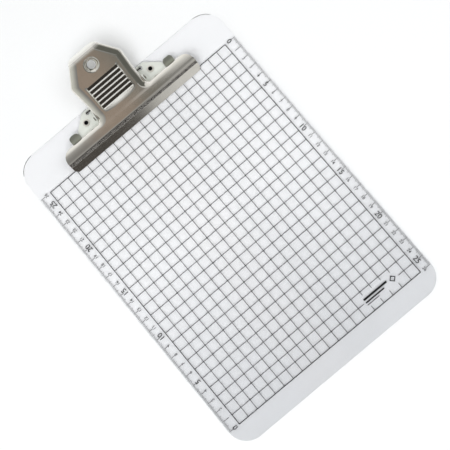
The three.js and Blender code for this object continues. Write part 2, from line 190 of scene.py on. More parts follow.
class ClipboardSizes(bpy.types.PropertyGroup):
    """Sizes of the board, its print and the sheet of the clip"""

    corner_radius: length_setting("Board corner", "Radius of the board's corners", 19)
    edge_break: length_setting("Board edge", "Rounding along the board's edges", 0.6)
    sheet: length_setting("Clip sheet", "Thickness of the clip's steel sheet", 0.9)
    sheet_edge: length_setting("Sheet edge", "Rounding along the sheet's cut edges", 0.12)
    grid_line: length_setting("Grid line", "Width of the printed grid lines", 0.5)
    border_line: length_setting("Border line", "Width of the grid's outer line", 0.7)
    tick_line: length_setting("Tick line", "Width of the ruler's ticks", 0.3)
    ink: length_setting("Ink", "How far the ink stands off the board", 0.04)
    cells_across: IntProperty(name="Cells across", description="Centimetres of grid across", default=20)
    cells_along: IntProperty(name="Cells along", description="Centimetres of grid along", default=26)


class ClipboardColours(bpy.types.PropertyGroup):
    """Colours of the finishes"""

    plastic: colour_setting("Clear plastic", "Tint of the moulded board", "#FEFEFF")
    # Painted shade: a greyer tint towards the board's foot, standing in for the shade over its lower end
    smoky: colour_setting("Clear plastic, foot", "Greyer tint at the board's foot", "#E1E2E4")
    ink: colour_setting("Printing ink", "Black screen ink", "#141416")
    nickel: colour_setting("Nickel plate", "Bright nickel on the lever", "#EDEAE3")
    zinc: colour_setting("Zinc plate", "Pale plating on the base plate", "#F0F3ED")
    # Painted shade: a darker grey on the bent stops than on the plate, standing in for the shade on their
    # upturned faces
    stop: colour_setting("Bent stops", "Greyer, brighter plating on the bent stops", "#C6CBC3")
    # Painted shade: a dark colour in the grip's hollows and along the crease, where shade falls
    soil: colour_setting("Grip hollows", "Dull film in the grip's hollows and the crease", "#56514B")
    # Painted highlight: a pale matt colour on the grip's ribs, the bowed front before them and the tip
    rubbed: colour_setting("Rubbed ribs", "Plating rubbed pale and matt by thumbs", "#FAFAF6")
    wire: colour_setting("Spring wire", "Oiled spring steel", "#6E6C68")
    pin: colour_setting("Pin steel", "Turned and plated steel", "#B4B2AC")
    floor: colour_setting("Floor", "Plain pale sweep under the board", "#F4F5F7")


# ------------------------------------------------------------------ mesh helpers


def clear_selection():
    """Leaves object mode with nothing selected."""
    if bpy.context.object and bpy.context.object.mode != "OBJECT":
        bpy.ops.object.mode_set(mode="OBJECT")
    bpy.ops.object.select_all(action="DESELECT")


def choose(*objects):
    """Selects these objects alone, the first one active."""
    clear_selection()
    for item in objects:
        item.select_set(True)
    bpy.context.view_layer.objects.active = objects[0]
    return objects[0]


def in_edit_mode(item, *steps):
    """Runs edit-mode steps on the whole of one mesh."""
    choose(item)
    bpy.ops.object.mode_set(mode="EDIT")
    bpy.ops.mesh.select_all(action="SELECT")
    for step in steps:
        step()
    bpy.ops.object.mode_set(mode="OBJECT")


def merge_doubles(item, distance=0.004):
    """Merges vertices that lie together and drops the faces that this leaves empty."""
    in_edit_mode(
        item,
        lambda: bpy.ops.mesh.remove_doubles(threshold=distance * MM),
        lambda: bpy.ops.mesh.dissolve_degenerate(threshold=distance * MM),
    )


def face_outwards(item):
    """Points every face of the mesh outwards."""
    in_edit_mode(item, lambda: bpy.ops.mesh.normals_make_consistent(inside=False))


def join(*objects):
    """Joins these objects into the first one."""
    first = choose(*objects)
    if len(objects) > 1:
        bpy.ops.object.join()
    return first


def apply_modifier(item, kind, **settings):
    """Adds a modifier with these settings and applies it."""
    choose(item)
    modifier = item.modifiers.new(kind.title(), kind)
    for name, value in settings.items():
        setattr(modifier, name, value)
    bpy.ops.object.modifier_apply(modifier=modifier.name)


def settle(item):
    """Puts the object's place, turn and size into its mesh."""
    choose(item)
    bpy.ops.object.transform_apply(location=True, rotation=True, scale=True)


def shade(item, degrees=32):
    """Smooth shading that keeps edges sharper than this angle, and keeps large flat faces flat."""
    choose(item)
    bpy.ops.object.shade_smooth_by_angle(angle=math.radians(degrees))
    apply_modifier(item, "WEIGHTED_NORMAL", keep_sharp=True)


def name_and_coat(item, name, finish):
    """Names a piece and gives it its finish."""
    item.name = name
    item.data.name = name
    item.data.materials.clear()
    item.data.materials.append(finish)


def finish_piece(item, name, finish, body, stands_for=()):
    """Names a piece, gives it its finish and ties it to the frame."""
    name_and_coat(item, name, finish)
    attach(item, body)
    if stands_for:
        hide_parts(*stands_for)
    return item


def sheet_patch(columns, rows, place):
    """A grid of faces whose corner (column, row) is moved to place(column, row), in millimetres."""
    clear_selection()
    bpy.ops.mesh.primitive_grid_add(x_subdivisions=columns, y_subdivisions=rows, size=1)
    patch = bpy.context.object
    for vertex in patch.data.vertices:
        column = round((vertex.co.x + 0.5) * columns)
        row = round((vertex.co.y + 0.5) * rows)
        vertex.co = Vector(place(column, row)) * MM
    return patch


def turned(profile, centre, steps=48):
    """A closed body of revolution about the Z axis through centre. The profile is a closed loop of
    (radius, height)."""
    clear_selection()
    bpy.ops.mesh.primitive_circle_add(vertices=len(profile), radius=MM)
    body = bpy.context.object
    for vertex, (radius, height) in zip(body.data.vertices, profile):
        vertex.co = Vector((radius, 0, height)) * MM
    in_edit_mode(
        body,
        lambda: bpy.ops.mesh.spin(
            steps=steps, angle=2 * math.pi, center=(0, 0, 0), axis=(0, 0, 1)
        ),
    )
    merge_doubles(body, 0.001)
    face_outwards(body)
    body.data.transform(Matrix.Translation(Vector(centre) * MM))
    return body


def rounded(corners, steps=6):
    """An outline whose corners, each (x, y, radius), are turned into arcs."""
    points = []
    for index, (x, y, radius) in enumerate(corners):
        here = Vector((x, y))
        if radius == 0:
            points.append(here)
            continue
        to_last = (Vector(corners[index - 1][:2]) - here).normalized()
        to_next = (Vector(corners[(index + 1) % len(corners)][:2]) - here).normalized()
        half = to_last.angle(to_next) / 2
        centre = here + (to_last + to_next).normalized() * radius / math.sin(half)
        start = here + to_last * radius / math.tan(half) - centre
        end = here + to_next * radius / math.tan(half) - centre
        turn = start.angle_signed(end)
        for step in range(steps + 1):
            points.append(centre + Matrix.Rotation(-turn * step / steps, 2) @ start)
    return points


def circle(x, y, radius, steps=40):
    """A round outline."""
    angles = [2 * math.pi * step / steps for step in range(steps)]
    return [Vector((x + radius * math.cos(a), y + radius * math.sin(a))) for a in angles]


def flat_blank(outlines, thickness=0.0, edge=0.0):
    """A flat blank cut to its outlines, holes included, with its edges rounded. It is centred on Z 0."""
    clear_selection()
    bpy.ops.curve.primitive_bezier_circle_add()
    blank = bpy.context.object
    curve = blank.data
    curve.splines.clear()
    curve.dimensions = "2D"
    curve.fill_mode = "BOTH"
    curve.extrude = max(thickness / 2 - edge, 0) * MM
    curve.bevel_depth = edge * MM
    curve.bevel_resolution = 1
    curve.offset = -edge * MM
    for outline in outlines:
        spline = curve.splines.new("POLY")
        spline.points.add(len(outline) - 1)
        for point, (x, y) in zip(spline.points, outline):
            point.co = (x * MM, y * MM, 0, 1)
        spline.use_cyclic_u = True
    choose(blank)
    bpy.ops.object.convert(target="MESH")
    blank = bpy.context.object
    merge_doubles(blank, 0.002)
    return blank


def move_mesh(item, x=0.0, y=0.0, z=0.0):
    """Moves a mesh by millimetres."""
    item.data.transform(Matrix.Translation(Vector((x, y, z)) * MM))
    return item


# ------------------------------------------------------------------ finishes


def node(tree, kind, inputs=(), stops=(), **settings):
    """Adds a shader node with its settings. inputs gives its sockets, in order or by name or number, a
    value, an output to link from, or a node, whose first output is linked. stops are a colour ramp's
    positions and linear colours. Map Range takes value, from, from, to, to."""
    made = tree.nodes.new("ShaderNode" + kind)
    for name, value in settings.items():
        setattr(made, name, value)
    for name, value in inputs.items() if isinstance(inputs, dict) else enumerate(inputs):
        if isinstance(value, bpy.types.Node):
            value = value.outputs[0]
        if isinstance(value, bpy.types.NodeSocket):
            tree.links.new(value, made.inputs[name])
        else:
            made.inputs[name].default_value = value
    for index, (position, colour) in enumerate(stops):
        elements = made.color_ramp.elements
        element = elements[index] if index < 2 else elements.new(position)
        element.position = position
        element.color = colour
    return made


def new_finish(name):
    """An empty material, its node tree and the Object coordinates in metres."""
    finish = bpy.data.materials.new(name)
    finish.use_nodes = True
    tree = finish.node_tree
    tree.nodes.clear()
    return finish, tree, node(tree, "TexCoord").outputs["Object"]


def lumps(millimetres):
    """Noise scale whose lumps are about this wide."""
    return 1 / (millimetres * MM)


def tinted(colour, share):
    """The colour made lighter or darker by a share."""
    return (*[min(1.0, channel * share) for channel in colour[:3]], 1.0)


def overlap(tree, *masks):
    """1 where all of these masks are 1."""
    shared = masks[0]
    for mask in masks[1:]:
        shared = node(tree, "Math", [shared, mask], operation="MULTIPLY")
    return shared


def band(tree, value, low, high, soft):
    """1 where value lies between low and high, with soft edges."""
    rise = node(tree, "MapRange", [value, low - soft, low + soft, 0, 1])
    fall = node(tree, "MapRange", [value, high - soft, high + soft, 1, 0])
    return overlap(tree, rise, fall)


def clear_polystyrene(colours):
    """Injection-moulded clear polystyrene: a water-clear, glossy sheet whose surface rolls very slightly
    from the mould, with a haze of fine handling scratches, drawn 0.5 mm wide so that they show. Its tint is
    painted a touch greyer towards its foot, a painted shade. Lamps shine through it."""
    finish, tree, place = new_finish("moulded_clear_polystyrene")
    y = node(tree, "SeparateXYZ", [place]).outputs["Y"]
    # Painted shade: the tint greys towards the board's foot
    toward_foot = node(tree, "MapRange", [y, BOARD_LOW.y * MM, 0.01, 1, 0])
    roll = node(tree, "TexNoise", {"Vector": place, "Scale": lumps(46), "Detail": 1.0})
    drawn_out = node(
        tree, "Mapping", {"Vector": place, "Rotation": (0, 0, 0.6), "Scale": (1, 0.04, 1)}
    )
    scratches = node(tree, "TexNoise", {"Vector": drawn_out, "Scale": lumps(0.5), "Detail": 3.0})
    rolled = node(tree, "Bump", {"Height": roll, "Strength": 0.12, "Distance": 0.0006})
    plastic = node(
        tree, "BsdfPrincipled",
        {
            "Base Color": node(
                tree, "Mix", {0: toward_foot, 6: colours.plastic, 7: colours.smoky}, data_type="RGBA"
            ).outputs[2],
            "Roughness": node(tree, "MapRange", [scratches, 0.35, 0.75, 0.02, 0.09]),
            "IOR": 1.49,
            "Transmission Weight": 1.0,
            "Normal": node(
                tree, "Bump",
                {"Height": scratches, "Normal": rolled, "Strength": 0.03, "Distance": 0.00002},
            ),
        },
    )
    lamp_path = node(tree, "BsdfTransparent", {"Color": linear("#FFFFFF")})
    to_lamp = node(tree, "LightPath").outputs["Is Shadow Ray"]
    node(tree, "OutputMaterial", [node(tree, "MixShader", [to_lamp, plastic, lamp_path])])
    return finish


def screen_ink(colours):
    """Black screen-printing ink: a thin matt film, slightly uneven over some 1.2 mm where the mesh laid less
    of it."""
    finish, tree, place = new_finish("screen_printed_ink")
    mottle = node(tree, "TexNoise", {"Vector": place, "Scale": lumps(1.2)})
    ink = node(
        tree, "BsdfPrincipled",
        {
            "Base Color": node(
                tree, "ValToRGB", [mottle], [(0.3, colours.ink), (0.8, tinted(colours.ink, 2.2))]
            ),
            "Roughness": node(tree, "MapRange", [mottle, 0, 1, 0.42, 0.6]),
            "IOR": 1.5,
        },
    )
    node(tree, "OutputMaterial", [ink])
    return finish


def plated(name, colour, roughness, grain, bump, wear=0.06, metallic=1.0, dress=None):
    """Plated steel: a tone that drifts over some 9 mm as plating does, and a fine grain of the given size in
    millimetres, which shows in the gloss and the relief. dress can lay painted highlights and painted shade
    over the tone, the roughness and the share of bare metal."""
    finish, tree, place = new_finish(name)
    cloud = node(tree, "TexNoise", {"Vector": place, "Scale": lumps(9), "Detail": 3.0})
    fine = node(tree, "TexNoise", {"Vector": place, "Scale": lumps(grain), "Detail": 3.0})
    tone = node(
        tree, "ValToRGB", [cloud],
        [(0.3, tinted(colour, 1 - wear)), (0.7, tinted(colour, 1 + wear))],
    )
    rough = node(tree, "MapRange", [fine, 0.25, 0.75, roughness * 0.75, roughness * 1.3])
    if dress:
        tone, rough, metallic = dress(tree, place, tone, rough, metallic)
    metal = node(
        tree, "BsdfPrincipled",
        {
            "Base Color": tone,
            "Metallic": metallic,
            "Roughness": rough,
            "Normal": node(tree, "Bump", {"Height": fine, "Strength": bump, "Distance": 0.00001}),
        },
    )
    node(tree, "OutputMaterial", [metal])
    return finish


def lay_over(tree, mask, under, over):
    """Tone, roughness and share of bare metal over laid on those under where the mask is 1."""
    tone = node(tree, "Mix", {0: mask, 6: under[0], 7: over[0]}, data_type="RGBA").outputs[2]
    rough, metallic = [
        node(tree, "Mix", {0: mask, 2: low, 3: high}) for low, high in zip(under[1:], over[1:])
    ]
    return tone, rough, metallic


def bright_nickel(colours):
    """Bright nickel over pressed steel: mirror-like, with a faint orange peel about 0.6 mm from lump to
    lump. The grip's ribs, the bowed front before them and the tip are painted pale and matt as a painted
    highlight, and the grip's hollows and the crease are painted dark as painted shade; the hollows are also
    rougher."""

    def grip_wear(tree, place, *clean):
        foot = Vector(pivot_to_world(0, *HANDLE.at(HANDLE.foot))) * MM
        uphill = Vector((0, math.cos(HANDLE.slope), math.sin(HANDLE.slope))) / MM
        from_foot = node(tree, "VectorMath", [place, foot], operation="SUBTRACT")
        along = node(
            tree, "VectorMath", [from_foot, uphill], operation="DOT_PRODUCT"
        ).outputs["Value"]
        x, y, _ = node(tree, "SeparateXYZ", [place]).outputs
        outwards = node(tree, "Math", [x], operation="ABSOLUTE")
        across = node(tree, "MapRange", [outwards, 0, GRIP_HALF * MM, 0, 1])
        steps = node(tree, "MapRange", [along, FIRST_TOOTH_AT, GRIP_END, 0, TOOTH_COUNT])
        phase = node(tree, "Math", [steps], operation="FRACT")
        on_steps = overlap(
            tree, band(tree, along, FIRST_TOOTH_AT, GRIP_END, 0.05), band(tree, across, -1, 0.99, 0.01)
        )
        rise_share = TOOTH_RISE / TOOTH_PITCH
        hollow = overlap(tree, on_steps, band(tree, phase, rise_share + 0.05, 0.97, 0.03))
        rib = overlap(tree, on_steps, band(tree, phase, -1, rise_share + 0.02, 0.02))
        before = node(tree, "MapRange", [along, FIRST_TOOTH_AT - GRIP_BOW, FIRST_TOOTH_AT, 1, 0])
        reach = node(
            tree, "VectorMath", [node(tree, "CombineXYZ", [across, before])], operation="LENGTH"
        ).outputs["Value"]
        bowed_front = overlap(
            tree, node(tree, "MapRange", [reach, 0.1, 1.0, 1, 0]),
            band(tree, along, -9, FIRST_TOOTH_AT, 0.05),
        )
        tip = node(tree, "MapRange", [along, HANDLE_LENGTH - 7, HANDLE_LENGTH - 1, 0, 0.9])
        # Painted highlight on the ribs and the bowed front, and below on the tip
        highlit_grip = node(tree, "Math", [rib, bowed_front], operation="MAXIMUM")
        rubbed = node(tree, "Math", [highlit_grip, tip], operation="MAXIMUM")
        # Painted shade along the crease between the lip and the roll
        crease_y = (PIVOT.y + on_roll(CREASE_ANGLE)[0]) * MM
        crease = overlap(
            tree, node(tree, "MapRange", [y, crease_y + 0.0008, crease_y + 0.0026, 0.85, 0]),
            node(tree, "MapRange", [y, crease_y - 0.0005, crease_y, 0, 1]),
        )
        # Painted shade: the hollows and the crease take the dark colour
        painted_shade = node(tree, "Math", [hollow, crease], operation="MAXIMUM")
        tone, rough, metallic = lay_over(tree, rubbed, clean, (colours.rubbed, 0.45, 0.15))
        tone = node(tree, "Mix", {0: painted_shade, 6: tone, 7: colours.soil}, data_type="RGBA").outputs[2]
        return tone, node(tree, "Mix", {0: hollow, 2: rough, 3: 0.4}), metallic

    return plated("bright_nickel_plate", colours.nickel, 0.08, 0.6, 0.06, 0.03, dress=grip_wear)


def pale_zinc(colours):
    """Passivated zinc on the flat base plate: paler and duller than nickel, with a fine crystalline grain
    of about 0.4 mm. The bent stops are fully metallic, smoother and painted a darker grey; the grey is
    painted shade of their upturned faces."""

    def burnished_stops(tree, place, *clean):
        x, y, _ = node(tree, "SeparateXYZ", [place]).outputs
        outwards = node(tree, "Math", [x], operation="ABSOLUTE")
        inner = (STOP_CENTRE - STOP_HALF) * MM
        # Painted shade: the bent stops get a darker grey
        stop_shade_mask = overlap(
            tree, node(tree, "MapRange", [outwards, inner - 0.0001, inner, 0, 1]),
            node(tree, "MapRange", [y, STOP_ROOT * MM, (STOP_ROOT + 0.8) * MM, 0, 1]),
        )
        return lay_over(tree, stop_shade_mask, clean, (colours.stop, 0.3, 1.0))

    return plated(
        "passivated_zinc_plate", colours.zinc, 0.5, 0.4, 0.4, metallic=0.3, dress=burnished_stops
    )


def nickel_tube(colours):
    """Nickel plated rivet tube: bright, marked by the setting punch, grain about 0.35 mm. The bore is
    painted black with the ink's colour, a painted shade of the deep hole."""

    def bare_bore(tree, place, *clean):
        mirrored = node(tree, "VectorMath", [place], operation="ABSOLUTE")
        axis = Vector((RIVET_CENTRE.x, RIVET_CENTRE.y, 0)) * MM
        spot = node(tree, "VectorMath", [mirrored, axis], operation="SUBTRACT")
        x, y, height = node(tree, "SeparateXYZ", [spot]).outputs
        radius = node(
            tree, "VectorMath", [node(tree, "CombineXYZ", [x, y])], operation="LENGTH"
        ).outputs["Value"]
        floor = RIVET_LOW.z * MM + 0.0008
        inside = overlap(
            tree, node(tree, "MapRange", [radius, 0.0018, 0.0021, 1, 0]),
            node(tree, "MapRange", [height, floor, floor + 0.0002, 0, 1]),
        )
        # Painted shade: the bore takes the ink's black
        return lay_over(tree, inside, clean, (colours.ink, 0.7, 0))

    return plated(
        "nickel_plated_tube", colours.nickel, 0.3, 0.35, 0.45, metallic=0.6, dress=bare_bore
    )


def floor_card(colours):
    """Matt white card: even, with a barely visible tooth of about 2 mm."""
    finish, tree, place = new_finish("matt_white_card")
    tooth = node(tree, "TexNoise", {"Vector": place, "Scale": lumps(2)})
    tone = node(
        tree, "ValToRGB", [tooth], [(0.3, tinted(colours.floor, 0.99)), (0.7, colours.floor)]
    )
    card = node(tree, "BsdfPrincipled", {"Base Color": tone, "Roughness": 0.9, "IOR": 1.3})
    node(tree, "OutputMaterial", [card])
    return finish


def mix_finishes(colours):
    """Makes each finish once, before the pieces that wear it. The spring is drawn wire, dark and oiled, with
    die marks drawn 0.25 mm apart so that they show. The pin is turned and plated satin steel, with a tool
    grain of 0.2 mm."""
    FINISHES.update(
        plastic=clear_polystyrene(colours),
        ink=screen_ink(colours),
        nickel=bright_nickel(colours),
        zinc=pale_zinc(colours),
        wire=plated("oiled_spring_wire", colours.wire, 0.3, 0.25, 0.6, 0.12),
        pin=plated("turned_pin_steel", colours.pin, 0.25, 0.2, 0.45),
        rivet=nickel_tube(colours),
        floor=floor_card(colours),
    )


# ------------------------------------------------------------------ the board and its print


def print_corner(sizes):
    """Lower left corner of the printed grid on the board."""
    return Vector((-sizes.cells_across * GRID_CELL / 2, BOARD_LOW.y + GRID_FOOT))


class PrintLayer:
    """Strips of ink added one by one to one mesh that lies on the writing face."""

    def __init__(self, sizes):
        self.low = BOARD_HIGH.z - PRINT_SINK
        self.high = BOARD_HIGH.z + sizes.ink / MM
        clear_selection()
        self.item = None

    def strip(self, x0, y0, x1, y1):
        """A flat bar of ink over this rectangle."""
        centre = Vector(((x0 + x1) / 2, (y0 + y1) / 2, (self.low + self.high) / 2)) * MM
        size = Vector((abs(x1 - x0), abs(y1 - y0), self.high - self.low)) * MM
        if self.item and self.item.mode != "EDIT":
            bpy.ops.object.mode_set(mode="EDIT")
        bpy.ops.mesh.primitive_cube_add(size=1, location=centre, scale=size)
        if not self.item:
            self.item = bpy.context.object
            settle(self.item)
            bpy.ops.object.mode_set(mode="EDIT")

    def done(self):
        """Leaves edit mode and gives the finished layer."""
        bpy.ops.object.mode_set(mode="OBJECT")
        settle(self.item)
        return self.item


class CLIPBOARD_OT_board(bpy.types.Operator):
    """Clear moulded board with rounded corners, rivet holes and washer recesses underneath"""

    bl_idname = "clipboard.board"
    bl_label = "Clear board"

    def execute(self, context):
        sizes = context.scene.clipboard_sizes
        radius = sizes.corner_radius / MM
        middle = (BOARD_LOW + BOARD_HIGH) / 2
        half = (BOARD_HIGH - BOARD_LOW) / 2
        outline = rounded(
            [
                (x * half.x + middle.x, y * half.y + middle.y, radius)
                for x, y in ((-1, -1), (1, -1), (1, 1), (-1, 1))
            ],
            steps=20,
        )
        holes = [
            circle(side * RIVET_CENTRE.x, RIVET_CENTRE.y, RIVET_HOLE, 48) for side in (-1, 1)
        ]
        board = flat_blank([outline, *holes], half.z * 2, sizes.edge_break / MM)
        move_mesh(board, z=middle.z)
        face_outwards(board)
        for side in (-1, 1):
            clear_selection()
            bpy.ops.mesh.primitive_cylinder_add(
                vertices=64, radius=RECESS_RADIUS * MM, depth=2 * RECESS_DEPTH * MM,
                location=Vector((side * RIVET_CENTRE.x, RIVET_CENTRE.y, 0)) * MM,
            )
            cutter = context.object
            settle(cutter)
            apply_modifier(board, "BOOLEAN", object=cutter, operation="DIFFERENCE", solver="EXACT")
            bpy.data.objects.remove(cutter)
        shade(board)
        finish_piece(
            board, "clear_board", FINISHES["plastic"], "board", ["board"]
        )
        return {"FINISHED"}


class CLIPBOARD_OT_grid(bpy.types.Operator):
    """Printed centimetre grid, with a clear window for the corner mark"""

    bl_idname = "clipboard.grid"
    bl_label = "Printed grid"

    def execute(self, context):
        sizes = context.scene.clipboard_sizes
        corner = print_corner(sizes)
        across = sizes.cells_across * GRID_CELL
        along = sizes.cells_along * GRID_CELL
        thin = sizes.grid_line / MM / 2
        thick = sizes.border_line / MM / 2
        layer = PrintLayer(sizes)

        def line(place, start, end, half, upright):
            """One line of the grid, along the board if upright and across it if not."""
            low, high = (place - half, start), (place + half, end)
            if not upright:
                low, high = low[::-1], high[::-1]
            layer.strip(corner.x + low[0], corner.y + low[1], corner.x + high[0], corner.y + high[1])

        for upright, cells, reach, window, gap in (
            (True, sizes.cells_across, along, MARK_WINDOW_X, MARK_WINDOW_Y),
            (False, sizes.cells_along, across, MARK_WINDOW_Y, MARK_WINDOW_X),
        ):
            for index in range(cells + 1):
                place = index * GRID_CELL
                outer = index in (0, cells)
                half = thick if outer else thin
                if window[0] < place < window[1]:
                    line(place, thick, gap[0], half, upright)
                    line(place, gap[1], reach - thick, half, upright)
                elif outer and upright:
                    line(place, -thick, reach + thick, half, upright)
                else:
                    line(place, thick, reach - thick, half, upright)
        finish_piece(layer.done(), "grid_lines", FINISHES["ink"], "board")
        return {"FINISHED"}


class CLIPBOARD_OT_rulers(bpy.types.Operator):
    """Millimetre and centimetre ticks along both long edges"""

    bl_idname = "clipboard.rulers"
    bl_label = "Ruler ticks"

    def execute(self, context):
        sizes = context.scene.clipboard_sizes
        corner = print_corner(sizes)
        along = sizes.cells_along * GRID_CELL
        half = sizes.tick_line / MM / 2
        edge = BOARD_HIGH.x - sizes.edge_break / MM - TICK_INSET
        layer = PrintLayer(sizes)
        for millimetre in range(along + 1):
            y = corner.y + millimetre
            reach, wide = (MIDDLE_TICK if millimetre % 5 == 0 else SHORT_TICK), half
            if millimetre % GRID_CELL == 0:
                reach, wide = LONG_TICK, half * 1.3
            for side in (-1, 1):
                layer.strip(side * edge, y - wide, side * (edge - reach), y + wide)
        finish_piece(layer.done(), "ruler_ticks", FINISHES["ink"], "board")
        return {"FINISHED"}


class CLIPBOARD_OT_numbers(bpy.types.Operator):
    """Centimetre numbers: the left ruler reads up the board, the right one reads down it"""

    bl_idname = "clipboard.numbers"
    bl_label = "Ruler numbers"

    def number(self, value, place, turn, sizes):
        """One number, drawn flat, turned and given the ink's thickness."""
        clear_selection()
        bpy.ops.object.text_add()
        text = bpy.context.object
        text.data.body = str(value)
        text.data.align_x = "CENTER"
        text.data.align_y = "CENTER"
        text.data.size = (LARGE_NUMBER if value % 5 == 0 else SMALL_NUMBER) * MM
        text.data.offset = (LARGE_NUMBER_SWELL if value % 5 == 0 else SMALL_NUMBER_SWELL) * MM
        text.data.resolution_u = 3
        text.data.extrude = (sizes.ink + PRINT_SINK * MM) / 2
        bpy.ops.object.convert(target="MESH")
        digits = bpy.context.object
        middle = BOARD_HIGH.z - PRINT_SINK + (sizes.ink / MM + PRINT_SINK) / 2
        digits.data.transform(
            Matrix.Translation(Vector((*place, middle)) * MM) @ Matrix.Rotation(turn, 4, "Z")
        )
        return digits

    def execute(self, context):
        sizes = context.scene.clipboard_sizes
        corner = print_corner(sizes)
        across = sizes.cells_across * GRID_CELL
        numbers = []
        for value in range(sizes.cells_along + 1):
            left = (corner.x - NUMBER_OFFSET, corner.y + value * GRID_CELL)
            right = (corner.x + across + NUMBER_OFFSET, left[1])
            numbers.append(self.number(value, left, math.pi / 2, sizes))
            numbers.append(self.number(sizes.cells_along - value, right, -math.pi / 2, sizes))
        layer = join(*numbers)
        merge_doubles(layer, 0.001)
        finish_piece(layer, "ruler_numbers", FINISHES["ink"], "board")
        return {"FINISHED"}


class CLIPBOARD_OT_mark(bpy.types.Operator):
    """Plain generic mark in the grid's window: a few bars and a lozenge, with no lettering"""

    bl_idname = "clipboard.mark"
    bl_label = "Corner mark"

    def execute(self, context):
        sizes = context.scene.clipboard_sizes
        corner = print_corner(sizes)
        layer = PrintLayer(sizes)
        for x0, x1, y0, y1 in MARK_BARS:
            layer.strip(corner.x + x0, corner.y + y0, corner.x + x1, corner.y + y1)
        mark = layer.done()
        centre = corner + LOZENGE_CENTRE
        lozenge = flat_blank(
            [circle(centre.x, centre.y, radius, 4) for radius in (LOZENGE_OUTER, LOZENGE_INNER)],
            sizes.ink / MM + PRINT_SINK,
        )
        move_mesh(lozenge, z=(layer.low + layer.high) / 2)
        face_outwards(lozenge)
        finish_piece(
            join(mark, lozenge), "corner_mark", FINISHES["ink"], "board"
        )
        return {"FINISHED"}


# ------------------------------------------------------------------ the lever


def pivot_to_world(x, y, z):
    """A point given from the pivot axis, in the frame."""
    return (x, PIVOT.y + y, PIVOT.z + z)


def on_roll(degrees):
    """A point of the roll's outer face at this angle, seen from its centre."""
    angle = math.radians(degrees)
    return (
        ROLL_CENTRE.x + ROLL_RADIUS * math.cos(angle),
        ROLL_CENTRE.y + ROLL_RADIUS * math.sin(angle),
    )


class HandleLine:
    """The middle line of the neck and handle, measured by its developed length from the roll."""

    def __init__(self):
        self.dip = math.radians(90 - ROLL_LEAVES_AT)
        self.slope = math.radians(HANDLE_ANGLE)
        start = on_roll(ROLL_LEAVES_AT)
        self.centre = (
            start[0] + BEND_RADIUS * math.sin(self.dip),
            start[1] + BEND_RADIUS * math.cos(self.dip),
        )
        self.foot = BEND_RADIUS * (self.dip + self.slope)

    def at(self, run, lift=0.0):
        """(y, z) at this run, lifted off the outer face."""
        slope = min(run / BEND_RADIUS - self.dip, self.slope)
        beyond = max(run - self.foot, 0)
        y = self.centre[0] + BEND_RADIUS * math.sin(slope) + beyond * math.cos(slope)
        z = self.centre[1] - BEND_RADIUS * math.cos(slope) + beyond * math.sin(slope)
        return y - lift * math.sin(slope), z + lift * math.cos(slope)


HANDLE = HandleLine()


def jaw_half_width(y):
    """Half the jaw's width where its outline is at y from the pivot: its corners are round in plan."""
    full = LEVER_HIGH.x
    front = LEVER_LOW.y - PIVOT.y + JAW_FRONT_CORNER
    back = ROLL_CENTRE.x + ROLL_RADIUS - JAW_BACK_CORNER
    if y < front:
        inside = max(JAW_FRONT_CORNER ** 2 - (front - y) ** 2, 0)
        return full - JAW_FRONT_CORNER + math.sqrt(inside)
    if y > back:
        inside = max(JAW_BACK_CORNER ** 2 - (y - back) ** 2, 0)
        return full - JAW_BACK_CORNER + math.sqrt(inside)
    return full


def jaw_rows():
    """(y, z) of each row of the jaw's outer face, from the lip's edge up over the roll to the neck."""
    lip = (LEVER_LOW.y - PIVOT.y, LEVER_LOW.z - PIVOT.z)
    crease = on_roll(CREASE_ANGLE)
    rows = []
    corner_steps, lip_steps, roll_steps = 6, 3, 18
    corner_share = JAW_FRONT_CORNER / (crease[0] - lip[0])
    shares = [
        corner_share * (1 - math.cos(math.pi / 2 * step / corner_steps))
        for step in range(corner_steps + 1)
    ]
    shares += [
        corner_share + (1 - corner_share) * step / lip_steps for step in range(1, lip_steps)
    ]
    for share in shares:
        rows.append((
            lip[0] + (crease[0] - lip[0]) * share,
            lip[1] + (crease[1] - lip[1]) * share,
        ))
    for step in range(roll_steps + 1):
        rows.append(on_roll(CREASE_ANGLE - (CREASE_ANGLE - ROLL_LEAVES_AT) * step / roll_steps))
    return rows


FILLET_ROWS = 18
NECK_BEGINS = -1.9
FILLET_RUN = BEND_RADIUS * (
    math.asin((NECK_BEGINS - HANDLE.centre[0]) / BEND_RADIUS) + HANDLE.dip
)
FOLD_IN = NECK_HALF - FOLD_WIDTH
ROOT_HALF = NECK_HALF + ROOT_FILLET
# The fold's inner corners draw in by its width times the tangent of half the corner's turn
SHOULDER_DRAW, TIP_DRAW = 0.308, 0.529
INNER_SHOULDER = (SHOULDER_HALF - FOLD_WIDTH, SHOULDER_AT - SHOULDER_DRAW * FOLD_WIDTH)
INNER_TIP = (TIP_HALF - TIP_DRAW * FOLD_WIDTH, HANDLE_LENGTH - FOLD_WIDTH)
SHOULDER_FAN, TIP_FAN = 5, 6

# Rows of the handle's face: before the grip, after it, and the window that the dished hole fills
ROW_BEFORE_GRIP = -0.4
ROWS_AFTER_GRIP = (25.3, 26.5)
WINDOW_LOW, ROW_IN_WINDOW, WINDOW_HIGH = 27.5, 28.3, 44.9
WINDOW_STEPS = 10


def fillet_turn(row):
    """Angle along the fillet between the roll's back and the neck's side, for a row."""
    return math.pi / 2 * (row / FILLET_ROWS) ** 0.75


